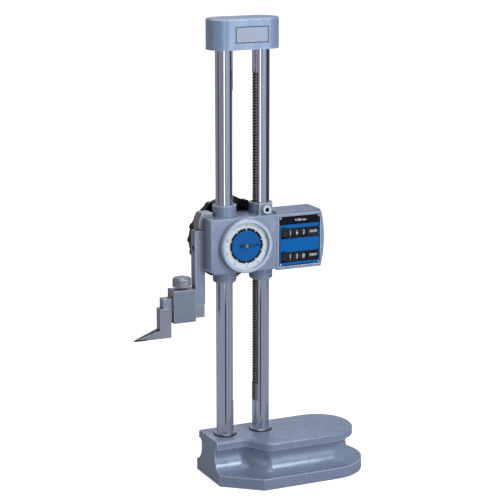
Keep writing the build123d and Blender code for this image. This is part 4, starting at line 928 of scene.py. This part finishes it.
dress(ground_steel("jaw_steel", JAW_STEEL, (1, 1, 0.06)), "jaw")
dress(ground_steel("clamp_steel", CLAMP_STEEL, (0.06, 1, 1)), "clamp_frame")
dress(ground_steel("knob_steel", KNOB_STEEL, (1, 1, 0.1), 0.3, 0.0002), "clamp_screw")
dress(ground_steel("carbide", CARBIDE, (1, 1, 1), 0.36, 0.0002, 0.04), "scriber_tip")
dress(enamel("bracket_paint", *BRACKET_PAINTS, 0.001, 0.5), "jaw_bracket")

# The slope of the scriber's toe, which faces up and to the left, is darkened by its direction as painted
# shade.
scriber_steel = ground_steel("scriber_steel", SCRIBER_STEEL, (1, 1, 0.06))
tree = scriber_steel.node_tree
ground_tone = tree.nodes["Principled BSDF"].inputs["Base Color"]
facing = tree.nodes.new("ShaderNodeNewGeometry")
lean_x, lean_z = axes(tree, facing.outputs["Normal"])[::2]
to_left = value(tree, "LESS_THAN", lean_x, -SLOPE_LEAN)
shaded_slope = value(tree, "MULTIPLY", to_left, value(tree, "GREATER_THAN", lean_z, SLOPE_LEAN))
tree.links.new(printed(tree, ground_tone.links[0].from_socket, shaded_slope, SLOPE_SHADE), ground_tone)
dress(scriber_steel, "scriber")

# ================================================================ lock and handwheel
# The slider lock is a bright chromed socket screw, its socket filled black as painted shade. The
# handwheel is moulded black plastic with a lobed rim, pressed on the feed shaft, with a cap over its hub.
LOCK_X, LOCK_Z = 0.0209, 0.2906
SOCKET_RADIUS = 0.0024
LOCK_DULL, LOCK_BRIGHT = (0.66, 0.69, 0.74), (0.80, 0.83, 0.87)
WHEEL_PLASTIC = (0.008, 0.008, 0.010)

lock_chrome, tree, shader, place = bare_material("lock_chrome")
shader.inputs["Metallic"].default_value = 0.4
x, y, z = axes(tree, place)
across = value(tree, "SUBTRACT", x, LOCK_X)
up = value(tree, "SUBTRACT", z, LOCK_Z)
off = value(tree, "SQRT", value(tree, "MULTIPLY_ADD", across, across, value(tree, "MULTIPLY", up, up)))
bright = between(tree, noise(tree, place, 600.0, 3.0), [(0.3, LOCK_DULL), (0.7, LOCK_BRIGHT)])
# painted shade: the socket within SOCKET_RADIUS is painted black
socket = value(tree, "LESS_THAN", off, SOCKET_RADIUS)
tree.links.new(printed(tree, bright, socket, BLACKENED), shader.inputs["Base Color"])
shader.inputs["Roughness"].default_value = 0.16
relief(tree, shader, noise(tree, place, 600.0, 2.0), 0.000004, 0.0003)
dress(lock_chrome, "lock_screw")
dress(moulded("wheel_plastic", WHEEL_PLASTIC, 0.42, 0.0008), "handwheel", "handwheel_cap")
